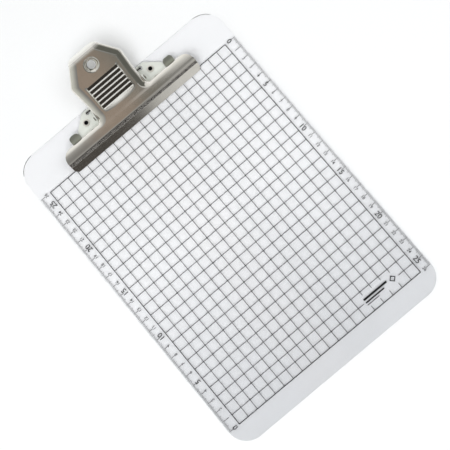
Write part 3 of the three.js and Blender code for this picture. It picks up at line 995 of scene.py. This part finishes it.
def handle_runs():
    """Developed runs of the rows from the roll to the inner edge of the tip's fold."""
    runs = [FILLET_RUN * (1 - math.cos(fillet_turn(row))) for row in range(FILLET_ROWS + 1)]
    along = [ROW_BEFORE_GRIP, FIRST_TOOTH_AT]
    for tooth in range(TOOTH_COUNT):
        start = FIRST_TOOTH_AT + tooth * TOOTH_PITCH
        tread = TOOTH_PITCH - TOOTH_RISE
        along += [start + TOOTH_RISE, start + TOOTH_RISE + tread / 2, start + TOOTH_PITCH]
    along += [*ROWS_AFTER_GRIP, WINDOW_LOW, ROW_IN_WINDOW, INNER_SHOULDER[1]]
    for step in range(1, WINDOW_STEPS + 1):
        along.append(INNER_SHOULDER[1] + (WINDOW_HIGH - INNER_SHOULDER[1]) * step / WINDOW_STEPS)
    along += [(WINDOW_HIGH + INNER_TIP[1]) / 2, INNER_TIP[1]]
    return runs + [HANDLE.foot + value for value in along]


def flat_half_width(row, run):
    """Half the width of the handle's face inside its folded edges."""
    if row <= FILLET_ROWS:
        return ROOT_HALF - (ROOT_HALF - FOLD_IN) * math.sin(fillet_turn(row))
    along = run - HANDLE.foot
    if along <= NECK_STRAIGHT:
        return FOLD_IN
    if along <= INNER_SHOULDER[1]:
        share = (along - NECK_STRAIGHT) / (INNER_SHOULDER[1] - NECK_STRAIGHT)
        return FOLD_IN + (INNER_SHOULDER[0] - FOLD_IN) * share
    share = (along - INNER_SHOULDER[1]) / (INNER_TIP[1] - INNER_SHOULDER[1])
    return INNER_SHOULDER[0] + (INNER_TIP[0] - INNER_SHOULDER[0]) * share


GRIP_COLUMNS = (0, 1.6, 3.2, 4.8, 6.4, 8.0, 9.6, 11.4, 13.2, 15.0, GRIP_HALF, GRIP_HALF + GRIP_SKIRT)
WINDOW_COLUMN = 6
SIDE_COLUMNS = 4
FACE_COLUMNS = len(GRIP_COLUMNS) - 1 + SIDE_COLUMNS


def face_x(column, half_width):
    """Distance from the middle of a column of the handle's face."""
    grip = GRIP_COLUMNS[-1]
    margin = 1.0
    squeeze = min(1.0, (half_width - margin) / grip)
    inner = len(GRIP_COLUMNS) - 1
    if column <= inner:
        return GRIP_COLUMNS[column] * squeeze
    share = (column - inner) / SIDE_COLUMNS
    return grip * squeeze + (half_width - grip * squeeze) * share


def grip_lift(x, along):
    """Height of the stepped thumb grip off the handle's face. It stands on a low wedge whose front is
    bowed towards the jaw."""
    if abs(x) > GRIP_HALF + GRIP_SKIRT / 2 or along >= GRIP_END:
        return 0.0
    if along < FIRST_TOOTH_AT:
        bow = GRIP_BOW * math.sqrt(max(1 - (x / GRIP_HALF) ** 2, 0))
        if bow < 0.05:
            return 0.0
        share = max(1 - (FIRST_TOOTH_AT - along) / bow, 0)
        return GRIP_LIFT * share ** 1.3
    wedge = GRIP_LIFT * (GRIP_END - along) / (GRIP_END - FIRST_TOOTH_AT)
    phase = (along - FIRST_TOOTH_AT) % TOOTH_PITCH
    if phase > TOOTH_PITCH - 1e-6 or phase < 1e-6:
        return wedge
    if phase <= TOOTH_RISE + 1e-6:
        return wedge + TOOTH_HEIGHT * phase / TOOTH_RISE
    return wedge + TOOTH_HEIGHT * (TOOTH_PITCH - phase) / (TOOTH_PITCH - TOOTH_RISE)


def face_point(column, row, runs):
    """A corner of the handle's face."""
    run = runs[row]
    x = face_x(column, flat_half_width(row, run))
    y, z = HANDLE.at(run, grip_lift(x, run - HANDLE.foot))
    return pivot_to_world(x, y, z)


def jaw_patches():
    """The right half of the jaw: lip and roll, and the back of the roll beside the neck."""
    rows = jaw_rows()
    wing_columns = 14

    def front(column, row):
        y, z = rows[row]
        if column <= FACE_COLUMNS:
            return pivot_to_world(face_x(column, ROOT_HALF), y, z)
        share = (column - FACE_COLUMNS) / wing_columns
        return pivot_to_world(ROOT_HALF + (jaw_half_width(y) - ROOT_HALF) * share, y, z)

    def back(column, row):
        y, z = rim_section(row)
        edge = jaw_half_width(min(y, ROLL_CENTRE.x + ROLL_RADIUS))
        return pivot_to_world(ROOT_HALF + (edge - ROOT_HALF) * column / wing_columns, y, z)

    return [
        sheet_patch(FACE_COLUMNS + wing_columns, len(rows) - 1, front),
        sheet_patch(wing_columns, RIM_STEPS, back),
    ]


ARC_STEPS = 10
WALL_STEPS = 2
RIM_STEPS = ARC_STEPS + WALL_STEPS


def rim_section(step):
    """(y, z) down the rim where it is still the back of the roll."""
    if step <= ARC_STEPS:
        return on_roll(ROLL_LEAVES_AT * (1 - step / ARC_STEPS))
    wall = (step - ARC_STEPS) / WALL_STEPS
    foot = ROLL_CENTRE.y + (ROLL_BACK_FOOT - ROLL_CENTRE.y) * wall
    return ROLL_CENTRE.x + ROLL_RADIUS, foot


def smooth(share):
    """An even ease from 0 to 1."""
    return share * share * (3 - 2 * share)


def fillet_point(row, step, runs):
    """A point of the rim where the roll's back turns into the neck's folded side."""
    turn = fillet_turn(row)
    share = turn / (math.pi / 2)
    run = runs[row]
    inner_x = flat_half_width(row, run)
    inner_y, inner_z = HANDLE.at(run)
    side_y, side_z = HANDLE.at(FILLET_RUN, -FOLD_DEPTH)
    end_y, end_z = HANDLE.at(FILLET_RUN, -FLANGE_DEPTH)
    top_y, _ = HANDLE.at(FILLET_RUN)
    roll_y = ROLL_CENTRE.x + ROLL_RADIUS
    outer_x = ROOT_HALF - ROOT_FILLET * math.sin(turn)
    plan_reach = (roll_y - on_roll(ROLL_LEAVES_AT)[0]) * math.cos(turn)
    lean = (side_y - top_y) * math.sin(turn) ** 2
    outer_z = ROLL_CENTRE.y + (side_z - ROLL_CENTRE.y) * smooth(share)
    start = math.radians(ROLL_LEAVES_AT + (90 - ROLL_LEAVES_AT) * share)
    angle = start * (1 - min(step, ARC_STEPS) / ARC_STEPS)
    over = (math.cos(angle) - math.cos(start)) / (1 - math.cos(start))
    down = (math.sin(start) - math.sin(angle)) / math.sin(start)
    x = inner_x + (outer_x - inner_x) * over
    y = inner_y + plan_reach * over + lean * down
    z = inner_z + (outer_z - inner_z) * down
    if step > ARC_STEPS:
        wall = (step - ARC_STEPS) / WALL_STEPS
        foot_y = (end_y - side_y) * smooth(share)
        foot_z = ROLL_BACK_FOOT + (end_z - ROLL_BACK_FOOT) * smooth(share)
        y += foot_y * wall
        z += (foot_z - z) * wall
    return pivot_to_world(x, y, z)


def fold_stations(runs):
    """Where the folded edge's sections stand, from the neck round to the middle of the tip: each is the
    inner point (x, run) and the direction outwards."""
    stations = []
    side = Vector((1, 0))
    slant = Vector((HANDLE_LENGTH - SHOULDER_AT, SHOULDER_HALF - TIP_HALF)).normalized()
    tip = Vector((0, 1))
    last = len(runs) - 1
    for row in range(FILLET_ROWS, last + 1):
        run = runs[row]
        inner = (flat_half_width(row, run), run)
        along = run - HANDLE.foot
        at_shoulder = abs(along - INNER_SHOULDER[1]) < 1e-6
        if at_shoulder:
            stations += fan(inner, side, slant, SHOULDER_FAN)
        elif row == last:
            stations += fan(inner, slant, tip, TIP_FAN)
        else:
            stations.append((inner, side if along < INNER_SHOULDER[1] else slant))
    for column in range(FACE_COLUMNS - 1, -1, -1):
        stations.append(((face_x(column, INNER_TIP[0]), runs[last]), tip))
    return stations


def fan(inner, first, second, steps):
    """Stations that turn about one inner point, round a corner of the fold."""
    turn = first.angle_signed(second)
    return [
        (inner, Matrix.Rotation(-turn * step / steps, 2) @ first) for step in range(steps + 1)
    ]


def handle_patches():
    """The right half of the handle: its face with the grip, the dished hole and the folded edge."""
    runs = handle_runs()
    low_row, high_row = [
        min(range(len(runs)), key=lambda row, at=at: abs(runs[row] - HANDLE.foot - at))
        for at in (WINDOW_LOW, WINDOW_HIGH)
    ]
    last = len(runs) - 1
    stations = fold_stations(runs)
    hole = (0.0, HANDLE.foot + HANG_HOLE_AT)
    border = [(column, low_row) for column in range(WINDOW_COLUMN)]
    border += [(WINDOW_COLUMN, row) for row in range(low_row, high_row)]
    border += [(column, high_row) for column in range(WINDOW_COLUMN, -1, -1)]

    def dish_point(column, row):
        """Rings of the dish: the outermost is the border of the window that it fills."""
        at_column, at_row = border[column]
        edge = Vector((
            face_x(at_column, flat_half_width(at_row, runs[at_row])), runs[at_row] - hole[1],
        ))
        if row == 0:
            return pivot_to_world(edge.x, *HANDLE.at(runs[at_row]))
        radius, lift = DISH[row - 1]
        point = edge.normalized() * radius
        return pivot_to_world(point.x, *HANDLE.at(hole[1] + point.y, lift))

    def fold_point(column, row):
        inner, outwards = stations[column]
        turn = math.pi / 2 * min(row, ARC_STEPS) / ARC_STEPS
        out = FOLD_WIDTH * math.sin(turn)
        lift = FOLD_DEPTH * (math.cos(turn) - 1)
        if row > ARC_STEPS:
            lift -= (FLANGE_DEPTH - FOLD_DEPTH) * (row - ARC_STEPS) / WALL_STEPS
        return pivot_to_world(
            inner[0] + outwards.x * out, *HANDLE.at(inner[1] + outwards.y * out, lift)
        )

    face_parts = [
        sheet_patch(
            FACE_COLUMNS - aside, end - start,
            lambda column, row, aside=aside, start=start: face_point(column + aside, row + start, runs),
        )
        for aside, start, end in (
            (0, 0, low_row), (WINDOW_COLUMN, low_row, high_row), (0, high_row, last),
        )
    ]
    return [
        *face_parts,
        sheet_patch(len(border) - 1, len(DISH), dish_point),
        sheet_patch(FILLET_ROWS, RIM_STEPS, lambda column, row: fillet_point(column, row, runs)),
        sheet_patch(len(stations) - 1, RIM_STEPS, fold_point),
    ]


def press_sheet(half, sizes, edge, sharper_than, profile, even_normals):
    """Mirrors the right half of a stamping, thickens it under its drawn face and rounds its cut edges."""
    merge_doubles(half)
    apply_modifier(
        half, "MIRROR", use_axis=(True, False, False), use_mirror_merge=True,
        merge_threshold=0.002 * MM,
    )
    face_outwards(half)
    if sum(face.normal.z * face.area for face in half.data.polygons) < 0:
        in_edit_mode(half, bpy.ops.mesh.flip_normals)
    apply_modifier(
        half, "SOLIDIFY", thickness=sizes.sheet, offset=-1, use_even_offset=True,
        use_quality_normals=even_normals,
    )
    apply_modifier(
        half, "BEVEL", width=edge, segments=2, limit_method="ANGLE",
        angle_limit=math.radians(sharper_than), use_clamp_overlap=False, profile=profile,
    )


def side_plate(corners, bore, thickness, edge):
    """An upright plate across the pivot axis, cut to corners of (y, z, radius) from the pivot with a bore
    at the pivot. It is centred on X 0."""
    plate = flat_blank([rounded(corners, 12), circle(0, 0, bore, 40)], thickness, edge)
    stand = Matrix(((0, 0, 1, 0), (1, 0, 0, 0), (0, 1, 0, 0), (0, 0, 0, 1)))
    plate.data.transform(stand)
    face_outwards(plate)
    return move_mesh(plate, y=PIVOT.y, z=PIVOT.z)


class CLIPBOARD_OT_lever(bpy.types.Operator):
    """Pressed steel lever: lip, roll, neck, handle tray with stepped grip and dished hole, and cheeks"""

    bl_idname = "clipboard.lever"
    bl_label = "Lever"

    def execute(self, context):
        sizes = context.scene.clipboard_sizes
        lever = join(*jaw_patches(), *handle_patches())
        press_sheet(lever, sizes, sizes.sheet_edge, 34, 0.6, True)
        cheeks = []
        for side in (-1, 1):
            cheek = side_plate(
                [(-LUG, -LUG, LUG), (LUG, -LUG, LUG), (LUG, CHEEK_REAR, 0), (-LUG, CHEEK_FRONT, 0)],
                CHEEK_BORE, sizes.sheet / MM, sizes.sheet_edge / MM,
            )
            inset = CHEEK_INSET + sizes.sheet / MM / 2
            cheeks.append(move_mesh(cheek, x=side * (NECK_HALF - inset)))
        lever = join(lever, *cheeks)
        shade(lever)
        finish_piece(
            lever, "clip_lever", FINISHES["nickel"], "lever", ["lever"]
        )
        return {"FINISHED"}


# ------------------------------------------------------------------ base plate, pin, spring and fastenings


# The plate's bent paper stops, its pivot ears and their windows, its body's outline, the slits beside the
# stops and its holes, all on the right half
STOP_HALF = 5
STOP_CENTRE = 53
STOP_ROOT = 135.6
STOP_LENGTH = 12
STOP_ANGLE = 38
STOP_BEND = 1.2
STOP_CORNER = 3.5
EAR_OUTER = 27.8
EAR_BEND = 0.6
EAR_HALF = 4.1
WINDOW_INNER = 14.8
BODY_HALF = 48.0
BODY_SLANT_AT = 2.5
REAR_HALF = 35.0
PLATE_CORNER = 2.5
KERF = 0.25
KERF_RUN = 1.2
KERF_CORNER = 0.2
PLATE_BORE = 1.75
PILOT_X, PILOT_Y, PILOT_RADIUS = 30.2, 154.0, 1.85


def bend_stop(vertex):
    """Moves one corner of the flat blank to where the bent paper stop puts it."""
    run = vertex.y - STOP_ROOT
    if run <= 0 or vertex.x < STOP_CENTRE - STOP_HALF:
        return vertex
    angle = math.radians(STOP_ANGLE)
    turn = min(run / STOP_BEND, angle)
    beyond = max(run - STOP_BEND * angle, 0)
    return Vector((
        vertex.x,
        STOP_ROOT + STOP_BEND * math.sin(turn) + beyond * math.cos(turn),
        vertex.z + STOP_BEND * (1 - math.cos(turn)) + beyond * math.sin(turn),
    ))


def ear_patch(plate_top):
    """The pivot ear, bent up from the outer edge of its window and rounded about the pin."""
    bend_steps, rise_steps, lobe_steps = 5, 5, 10
    columns = 12
    foot = plate_top + EAR_BEND

    def place(column, row):
        across = 2 * column / columns - 1
        if row <= bend_steps:
            turn = math.pi / 2 * row / bend_steps
            x = EAR_OUTER + EAR_BEND * (1 - math.sin(turn))
            z = plate_top + EAR_BEND * (1 - math.cos(turn))
            half = EAR_HALF
        elif row <= bend_steps + rise_steps:
            share = (row - bend_steps) / rise_steps
            x, z = EAR_OUTER, foot + (PIVOT.z - foot) * share
            half = EAR_HALF + (LUG - EAR_HALF) * share
        else:
            turn = math.pi / 2 * (row - bend_steps - rise_steps) / lobe_steps
            x, z = EAR_OUTER, PIVOT.z + LUG * math.sin(turn)
            half = LUG * math.cos(turn)
        return x, PIVOT.y + across * half, z

    return sheet_patch(columns, bend_steps + rise_steps + lobe_steps, place), columns


class CLIPBOARD_OT_base_plate(bpy.types.Operator):
    """Base plate: wings with bent paper stops, body with windows, ears, rivet and pilot holes"""

    bl_idname = "clipboard.base_plate"
    bl_label = "Base plate"

    def execute(self, context):
        sizes = context.scene.clipboard_sizes
        sheet = sizes.sheet / MM
        top = PLATE_LOW.z + sheet
        front, rear = PLATE_LOW.y, PLATE_HIGH.y
        wing = PLATE_HIGH.x
        ear, columns = ear_patch(top)
        outline = rounded([
            (0, front, 0),
            (wing, front, PLATE_CORNER),
            (wing, STOP_ROOT + STOP_LENGTH, STOP_CORNER),
            (BODY_HALF + KERF, STOP_ROOT + STOP_LENGTH, STOP_CORNER),
            (BODY_HALF + KERF, STOP_ROOT - KERF_RUN, KERF_CORNER),
            (BODY_HALF, STOP_ROOT - KERF_RUN, KERF_CORNER),
            (BODY_HALF, PIVOT.y + BODY_SLANT_AT, PLATE_CORNER),
            (REAR_HALF, rear, PLATE_CORNER),
            (0, rear, 0),
        ])
        window = [Vector((WINDOW_INNER, PIVOT.y + side * EAR_HALF)) for side in (-1, 1)]
        window += [
            Vector((EAR_OUTER + EAR_BEND, PIVOT.y + EAR_HALF * (1 - 2 * step / columns)))
            for step in range(columns + 1)
        ]
        holes = [
            window, circle(RIVET_CENTRE.x, RIVET_CENTRE.y, PLATE_BORE, 32),
            circle(PILOT_X, PILOT_Y, PILOT_RADIUS, 32),
        ]
        plate = flat_blank([outline, *holes])
        move_mesh(plate, z=top)
        bend_lines = [STOP_ROOT + STOP_BEND * math.radians(STOP_ANGLE) * step / 4 for step in range(5)]
        for y in bend_lines:
            in_edit_mode(
                plate,
                lambda y=y: bpy.ops.mesh.bisect(
                    plane_co=Vector((0, y, top)) * MM, plane_no=(0, 1, 0), use_fill=False
                ),
            )
        for vertex in plate.data.vertices:
            vertex.co = bend_stop(vertex.co / MM) * MM
        plate = join(plate, ear)
        press_sheet(plate, sizes, sizes.sheet_edge * 0.8, 40, 0.5, False)
        shade(plate)
        finish_piece(
            plate, "clip_base_plate", FINISHES["zinc"], "board", ["base_plate"]
        )
        return {"FINISHED"}


class CLIPBOARD_OT_pin(bpy.types.Operator):
    """Pivot pin with a domed head at each end"""

    bl_idname = "clipboard.pin"
    bl_label = "Pivot pin"

    def execute(self, context):
        half = PIN_HIGH.x
        head, length, radius = 2.2, 1.4, 1.5
        crown = [
            (head * math.cos(angle) ** 0.6, half - length * 0.5 + length * 0.5 * math.sin(angle))
            for angle in (math.pi / 2 * step / 6 for step in range(6))
        ]
        upper = [(radius, 0), (radius, half - length), (head - 0.12, half - length)]
        upper += [(head, half - length + 0.12), *crown, (0, half)]
        lower = [(r, -h) for r, h in reversed(upper[1:])]
        pin = turned([*upper, *lower], (0, 0, 0), 40)
        lie = Matrix.Rotation(math.pi / 2, 4, "Y")
        pin.data.transform(lie)
        move_mesh(pin, y=PIVOT.y, z=PIVOT.z)
        shade(pin)
        finish_piece(pin, "hinge_pin", FINISHES["pin"], "board", ["pivot_pin"])
        return {"FINISHED"}


def spring_line():
    """The wire's middle line from the left tail, round both coils and the loop, to the right tail, from
    the pivot axis."""
    wire = 1.6
    coil_radius = 2.7
    coil_start = 20.5
    coil_pitch = 1.85
    turns = 4
    heel_back = 10.5
    on_plate = -6.5
    loop_reach = 17.0
    tail_angle = math.atan2(on_plate, heel_back)
    leg_start = tail_angle - math.acos(coil_radius / math.hypot(on_plate, heel_back))
    loop_start = math.pi / 2 + math.radians(HANDLE_ANGLE)
    sweep = turns * 2 * math.pi + (leg_start + 2 * math.pi - loop_start) % (2 * math.pi)
    steps = math.ceil(sweep / math.radians(15))
    half = [Vector((-coil_start, heel_back - wire, on_plate + wire / 2))]
    for index in range(steps + 1):
        share = index / steps
        angle = leg_start - sweep * share
        half.append(Vector((
            -coil_start + coil_pitch * sweep * share / (2 * math.pi),
            coil_radius * math.cos(angle), coil_radius * math.sin(angle),
        )))
    slope = Vector((0, math.cos(math.radians(HANDLE_ANGLE)), math.sin(math.radians(HANDLE_ANGLE))))
    last = half[-1]
    half += [last + slope * loop_reach * share for share in (0.5, 0.9)]
    half.append(last + slope * loop_reach + Vector((wire, 0, 0)))
    other = [Vector((-point.x, point.y, point.z)) for point in reversed(half)]
    heel = Vector((-coil_start, heel_back, on_plate))
    left = [
        Vector((SPRING_LOW.x, heel.y, heel.z)),
        Vector((-EAR_OUTER, heel.y, heel.z)),
        Vector((heel.x - wire, heel.y, heel.z)),
    ]
    right = [
        Vector((-heel.x + wire, heel.y, heel.z)),
        Vector((EAR_OUTER, heel.y, heel.z)),
        Vector((PILOT_X - wire / 2, heel.y, heel.z)),
        Vector((PILOT_X, heel.y, heel.z - wire / 2)),
    ]
    return [*left, *half, *other, *right], wire


class CLIPBOARD_OT_spring(bpy.types.Operator):
    """Double torsion spring: two coils on the pin, a loop under the handle and two tails on the plate"""

    bl_idname = "clipboard.spring"
    bl_label = "Torsion spring"

    def execute(self, context):
        points, wire = spring_line()
        clear_selection()
        bpy.ops.curve.primitive_nurbs_path_add()
        spring = context.object
        curve = spring.data
        curve.splines.clear()
        spline = curve.splines.new("NURBS")
        spline.points.add(len(points) - 1)
        for target, point in zip(spline.points, points):
            target.co = (*(Vector(pivot_to_world(*point)) * MM), 1)
        spline.use_endpoint_u = True
        spline.order_u = 3
        spline.resolution_u = 3
        curve.bevel_depth = wire / 2 * MM
        curve.bevel_resolution = 4
        curve.use_fill_caps = True
        choose(spring)
        bpy.ops.object.convert(target="MESH")
        spring = context.object
        settle(spring)
        merge_doubles(spring, 0.001)
        face_outwards(spring)
        shade(spring, 50)
        name_and_coat(spring, "twin_torsion_spring", FINISHES["wire"])
        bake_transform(spring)
        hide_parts("torsion_spring")
        return {"FINISHED"}


class CLIPBOARD_OT_rivets(bpy.types.Operator):
    """Two semi-tubular rivets, hollow from above and rolled over a washer underneath"""

    bl_idname = "clipboard.rivets"
    bl_label = "Rivets"

    def execute(self, context):
        top, foot = RIVET_HIGH.z, RIVET_LOW.z
        bore, shank, head = 1.7, 2.25, 3.3
        seat = top - 0.7
        outline = [
            (0, foot + 1.1), (bore, foot + 1.1), (bore, top - 0.55), (bore + 0.12, top - 0.2),
            (bore + 0.45, top), (head - 0.9, top - 0.02), (head - 0.35, top - 0.18),
            (head - 0.05, top - 0.42), (head, seat + 0.1), (head - 0.1, seat), (shank, seat),
            (shank, foot + 0.75), (shank + 0.7, foot + 0.62),
            (shank + 0.85, foot + 0.3), (shank + 0.6, foot + 0.05), (shank + 0.2, foot),
            (bore + 0.25, foot + 0.25), (bore, foot + 0.8), (0, foot + 0.8),
        ]
        for side, name in ((-1, "left"), (1, "right")):
            rivet = turned(outline, (side * RIVET_CENTRE.x, RIVET_CENTRE.y, 0), 48)
            shade(rivet, 40)
            finish_piece(
                rivet, f"tubular_rivet_{name}", FINISHES["rivet"], "board",
                [f"rivet_{name}"],
            )
        return {"FINISHED"}


class CLIPBOARD_OT_washers(bpy.types.Operator):
    """Washers in the board's recesses, under the rolled ends of the rivets"""

    bl_idname = "clipboard.washers"
    bl_label = "Back washers"

    def execute(self, context):
        centre = (WASHER_LOW + WASHER_HIGH) / 2
        low, high, edge = WASHER_LOW.z, WASHER_HIGH.z, 0.12
        inner, outer = 2.4, (WASHER_HIGH.x - WASHER_LOW.x) / 2
        outline = [
            (inner, low + edge), (inner + edge, low), (outer - edge, low), (outer, low + edge),
            (outer, high - edge), (outer - edge, high), (inner + edge, high), (inner, high - edge),
        ]
        for side, name in ((-1, "left"), (1, "right")):
            washer = turned(outline, (side * centre.x, centre.y, 0), 48)
            shade(washer, 50)
            finish_piece(
                washer, f"clench_washer_{name}", FINISHES["zinc"], "board",
                [f"back_washer_{name}"],
            )
        return {"FINISHED"}


# ------------------------------------------------------------------ stage


CAMERA_LENS = 111.44
CAMERA_DISTANCE = 1.1992
CAMERA_LEAN = (0.023, -0.150)
CAMERA_ROLL = -39.93
CAMERA_TARGET = (-0.00105, -0.0006, 0.003)

# Stage, in metres and watts
FLOOR_SIZE = 30
FLOOR_DROP = 0.0002
LAMPS = (("key", (-0.55, -0.4, 2.0), 1.3, 27), ("fill", (0.8, -0.3, 1.9), 1.6, 13))


def place_camera(scene):
    """A long lens almost straight above the board, leaning a little towards its foot and rolled."""
    camera = bpy.data.objects.new("camera", bpy.data.cameras.new("camera"))
    scene.collection.objects.link(camera)
    scene.camera = camera
    camera.data.lens = CAMERA_LENS
    lean_x, lean_y = CAMERA_LEAN
    back = Vector((lean_x, lean_y, math.sqrt(1 - lean_x ** 2 - lean_y ** 2)))
    up = (Vector((0, 1, 0)) - back * back.y).normalized()
    right = up.cross(back)
    roll = math.radians(CAMERA_ROLL)
    across = right * math.cos(roll) + up * math.sin(roll)
    upwards = up * math.cos(roll) - right * math.sin(roll)
    turn = Matrix((across, upwards, back)).transposed().to_4x4()
    camera.matrix_world = Matrix.Translation(Vector(CAMERA_TARGET) + back * CAMERA_DISTANCE) @ turn
    camera.data.clip_end = 50


def soft_light(scene, name, place, size, power):
    """A large soft lamp aimed at the board. Metal doesn't mirror it, the room around does that."""
    lamp = bpy.data.objects.new(name, bpy.data.lights.new(name, "AREA"))
    scene.collection.objects.link(lamp)
    lamp.data.size = size
    lamp.data.energy = power
    lamp.location = place
    lamp.rotation_mode = "QUATERNION"
    lamp.rotation_quaternion = Vector(place).to_track_quat("Z", "Y")
    lamp.visible_glossy = False
    lamp.visible_camera = False
    lamp.visible_transmission = False
    lamp.data.cycles.use_multiple_importance_sampling = False


# The studio walls' greys from the front horizon (0) to the back horizon (1), and what stands before them:
# its spans along x, y and z, how soft its sides and its front and back are, and its colour
LEFT_WALL = (
    (0.0, 0.55), (1.0, 0.95), (0.03, 0.36), (0.1, 0.24), (0.22, 0.22), (0.43, 0.26), (0.6, 0.31),
    (0.82, 0.42), (0.95, 0.8),
)
RIGHT_WALL = (
    (0.0, 0.68), (1.0, 0.95), (0.03, 0.5), (0.1, 0.33), (0.22, 0.32), (0.43, 0.5), (0.6, 0.62),
    (0.82, 0.74), (0.95, 0.85),
)
FAR_LEFT = "#DCDED8"
FURNITURE = {
    "warm stand": ((-0.052, -0.012), (-0.9, 0.75), (0.35, 2), 0.004, 0.06, "#9C8D80"),
    "dark post": ((-0.012, 0.012), (-0.85, 0.45), (0.35, 2), 0.004, 0.06, "#70706A"),
    "narrow rail": ((0.036, 0.18), (-0.62, -0.47), (0.35, 2), 0.006, 0.012, "#6A6B66"),
    "dark screen": ((0.14, 0.85), (-0.85, 0.5), (0.2, 2), 0.05, 0.06, "#62635E"),
    "low cupboard": ((-0.13, -0.0105), (-2, -0.9), (-1, 0.2), 0.0015, 0.06, "#4B4845"),
}


def studio_world(scene):
    """The pale room that the metal mirrors: brighter towards +Y and on its right, with dark and warm
    furniture overhead and a cupboard low at the front. The camera itself sees plain white past the floor."""
    world = bpy.data.worlds.new("studio")
    scene.world = world
    world.use_nodes = True
    tree = world.node_tree
    tree.nodes.clear()
    direction = node(tree, "TexCoord").outputs["Generated"]
    x, y, z = node(tree, "SeparateXYZ", [direction]).outputs
    back = node(tree, "MapRange", [y, -1, 1, 0, 1])
    left, right = [
        node(tree, "ValToRGB", [back], [(place, (grey, grey, grey * 0.98, 1)) for place, grey in levels])
        for levels in (LEFT_WALL, RIGHT_WALL)
    ]
    layers = [
        (node(tree, "MapRange", [x, 0.004, 0.028, 0, 1]), right),
        (node(tree, "MapRange", [x, -0.12, -1.0, 0, 0.9]), linear(FAR_LEFT)),
    ]
    for sides, fronts, heights, soft, soft_front, tone in FURNITURE.values():
        mask = overlap(
            tree, band(tree, x, *sides, soft), band(tree, y, *fronts, soft_front),
            band(tree, z, *heights, 0.03),
        )
        layers.append((mask, linear(tone)))
    colour = left
    for mask, over in layers:
        colour = node(tree, "Mix", {0: mask, 6: colour, 7: over}, data_type="RGBA").outputs[2]
    lit = node(tree, "Background", [colour, 1.0])
    plain = node(tree, "Background", [linear("#F2F2F2"), 1.0])
    seen = node(tree, "LightPath").outputs["Is Camera Ray"]
    node(tree, "OutputWorld", [node(tree, "MixShader", [seen, lit, plain])])


class CLIPBOARD_OT_stage(bpy.types.Operator):
    """Plain pale floor, soft lights, studio room and the camera"""

    bl_idname = "clipboard.stage"
    bl_label = "Stage"

    def execute(self, context):
        scene = context.scene
        clear_selection()
        bpy.ops.mesh.primitive_plane_add(size=FLOOR_SIZE, location=(0, 0, -FLOOR_DROP))
        floor = context.object
        settle(floor)
        floor.name = "floor"
        floor.data.materials.append(FINISHES["floor"])
        for name, place, size, power in LAMPS:
            soft_light(scene, name, place, size, power)
        studio_world(scene)
        scene.view_settings.view_transform = "Standard"
        scene.view_settings.look = "None"
        scene.view_settings.exposure = 0.0
        place_camera(scene)
        return {"FINISHED"}


# ------------------------------------------------------------------ add-on


OPERATORS = (
    CLIPBOARD_OT_stage,
    CLIPBOARD_OT_board,
    CLIPBOARD_OT_grid,
    CLIPBOARD_OT_rulers,
    CLIPBOARD_OT_numbers,
    CLIPBOARD_OT_mark,
    CLIPBOARD_OT_base_plate,
    CLIPBOARD_OT_lever,
    CLIPBOARD_OT_pin,
    CLIPBOARD_OT_spring,
    CLIPBOARD_OT_rivets,
    CLIPBOARD_OT_washers,
)


class CLIPBOARD_PT_pieces(bpy.types.Panel):
    """Lists the clipboard's pieces, sizes and colours"""

    bl_idname = "CLIPBOARD_PT_pieces"
    bl_label = "Clear Clipboard"
    bl_space_type = "VIEW_3D"
    bl_region_type = "UI"
    bl_category = "Clipboard"

    def draw(self, context):
        for group in (context.scene.clipboard_sizes, context.scene.clipboard_colours):
            for name in group.__annotations__:
                self.layout.prop(group, name)
        for operator in OPERATORS:
            self.layout.operator(operator.bl_idname)


CLASSES = (ClipboardSizes, ClipboardColours, *OPERATORS, CLIPBOARD_PT_pieces)


def register():
    for item in CLASSES:
        bpy.utils.register_class(item)
    bpy.types.Scene.clipboard_sizes = PointerProperty(type=ClipboardSizes)
    bpy.types.Scene.clipboard_colours = PointerProperty(type=ClipboardColours)


def unregister():
    del bpy.types.Scene.clipboard_colours
    del bpy.types.Scene.clipboard_sizes
    for item in reversed(CLASSES):
        bpy.utils.unregister_class(item)


def main():
    register()
    mix_finishes(bpy.context.scene.clipboard_colours)
    for operator in OPERATORS:
        group, name = operator.bl_idname.split(".")
        getattr(getattr(bpy.ops, group), name)()
    clear_selection()


if __name__ == "__main__":
    main()
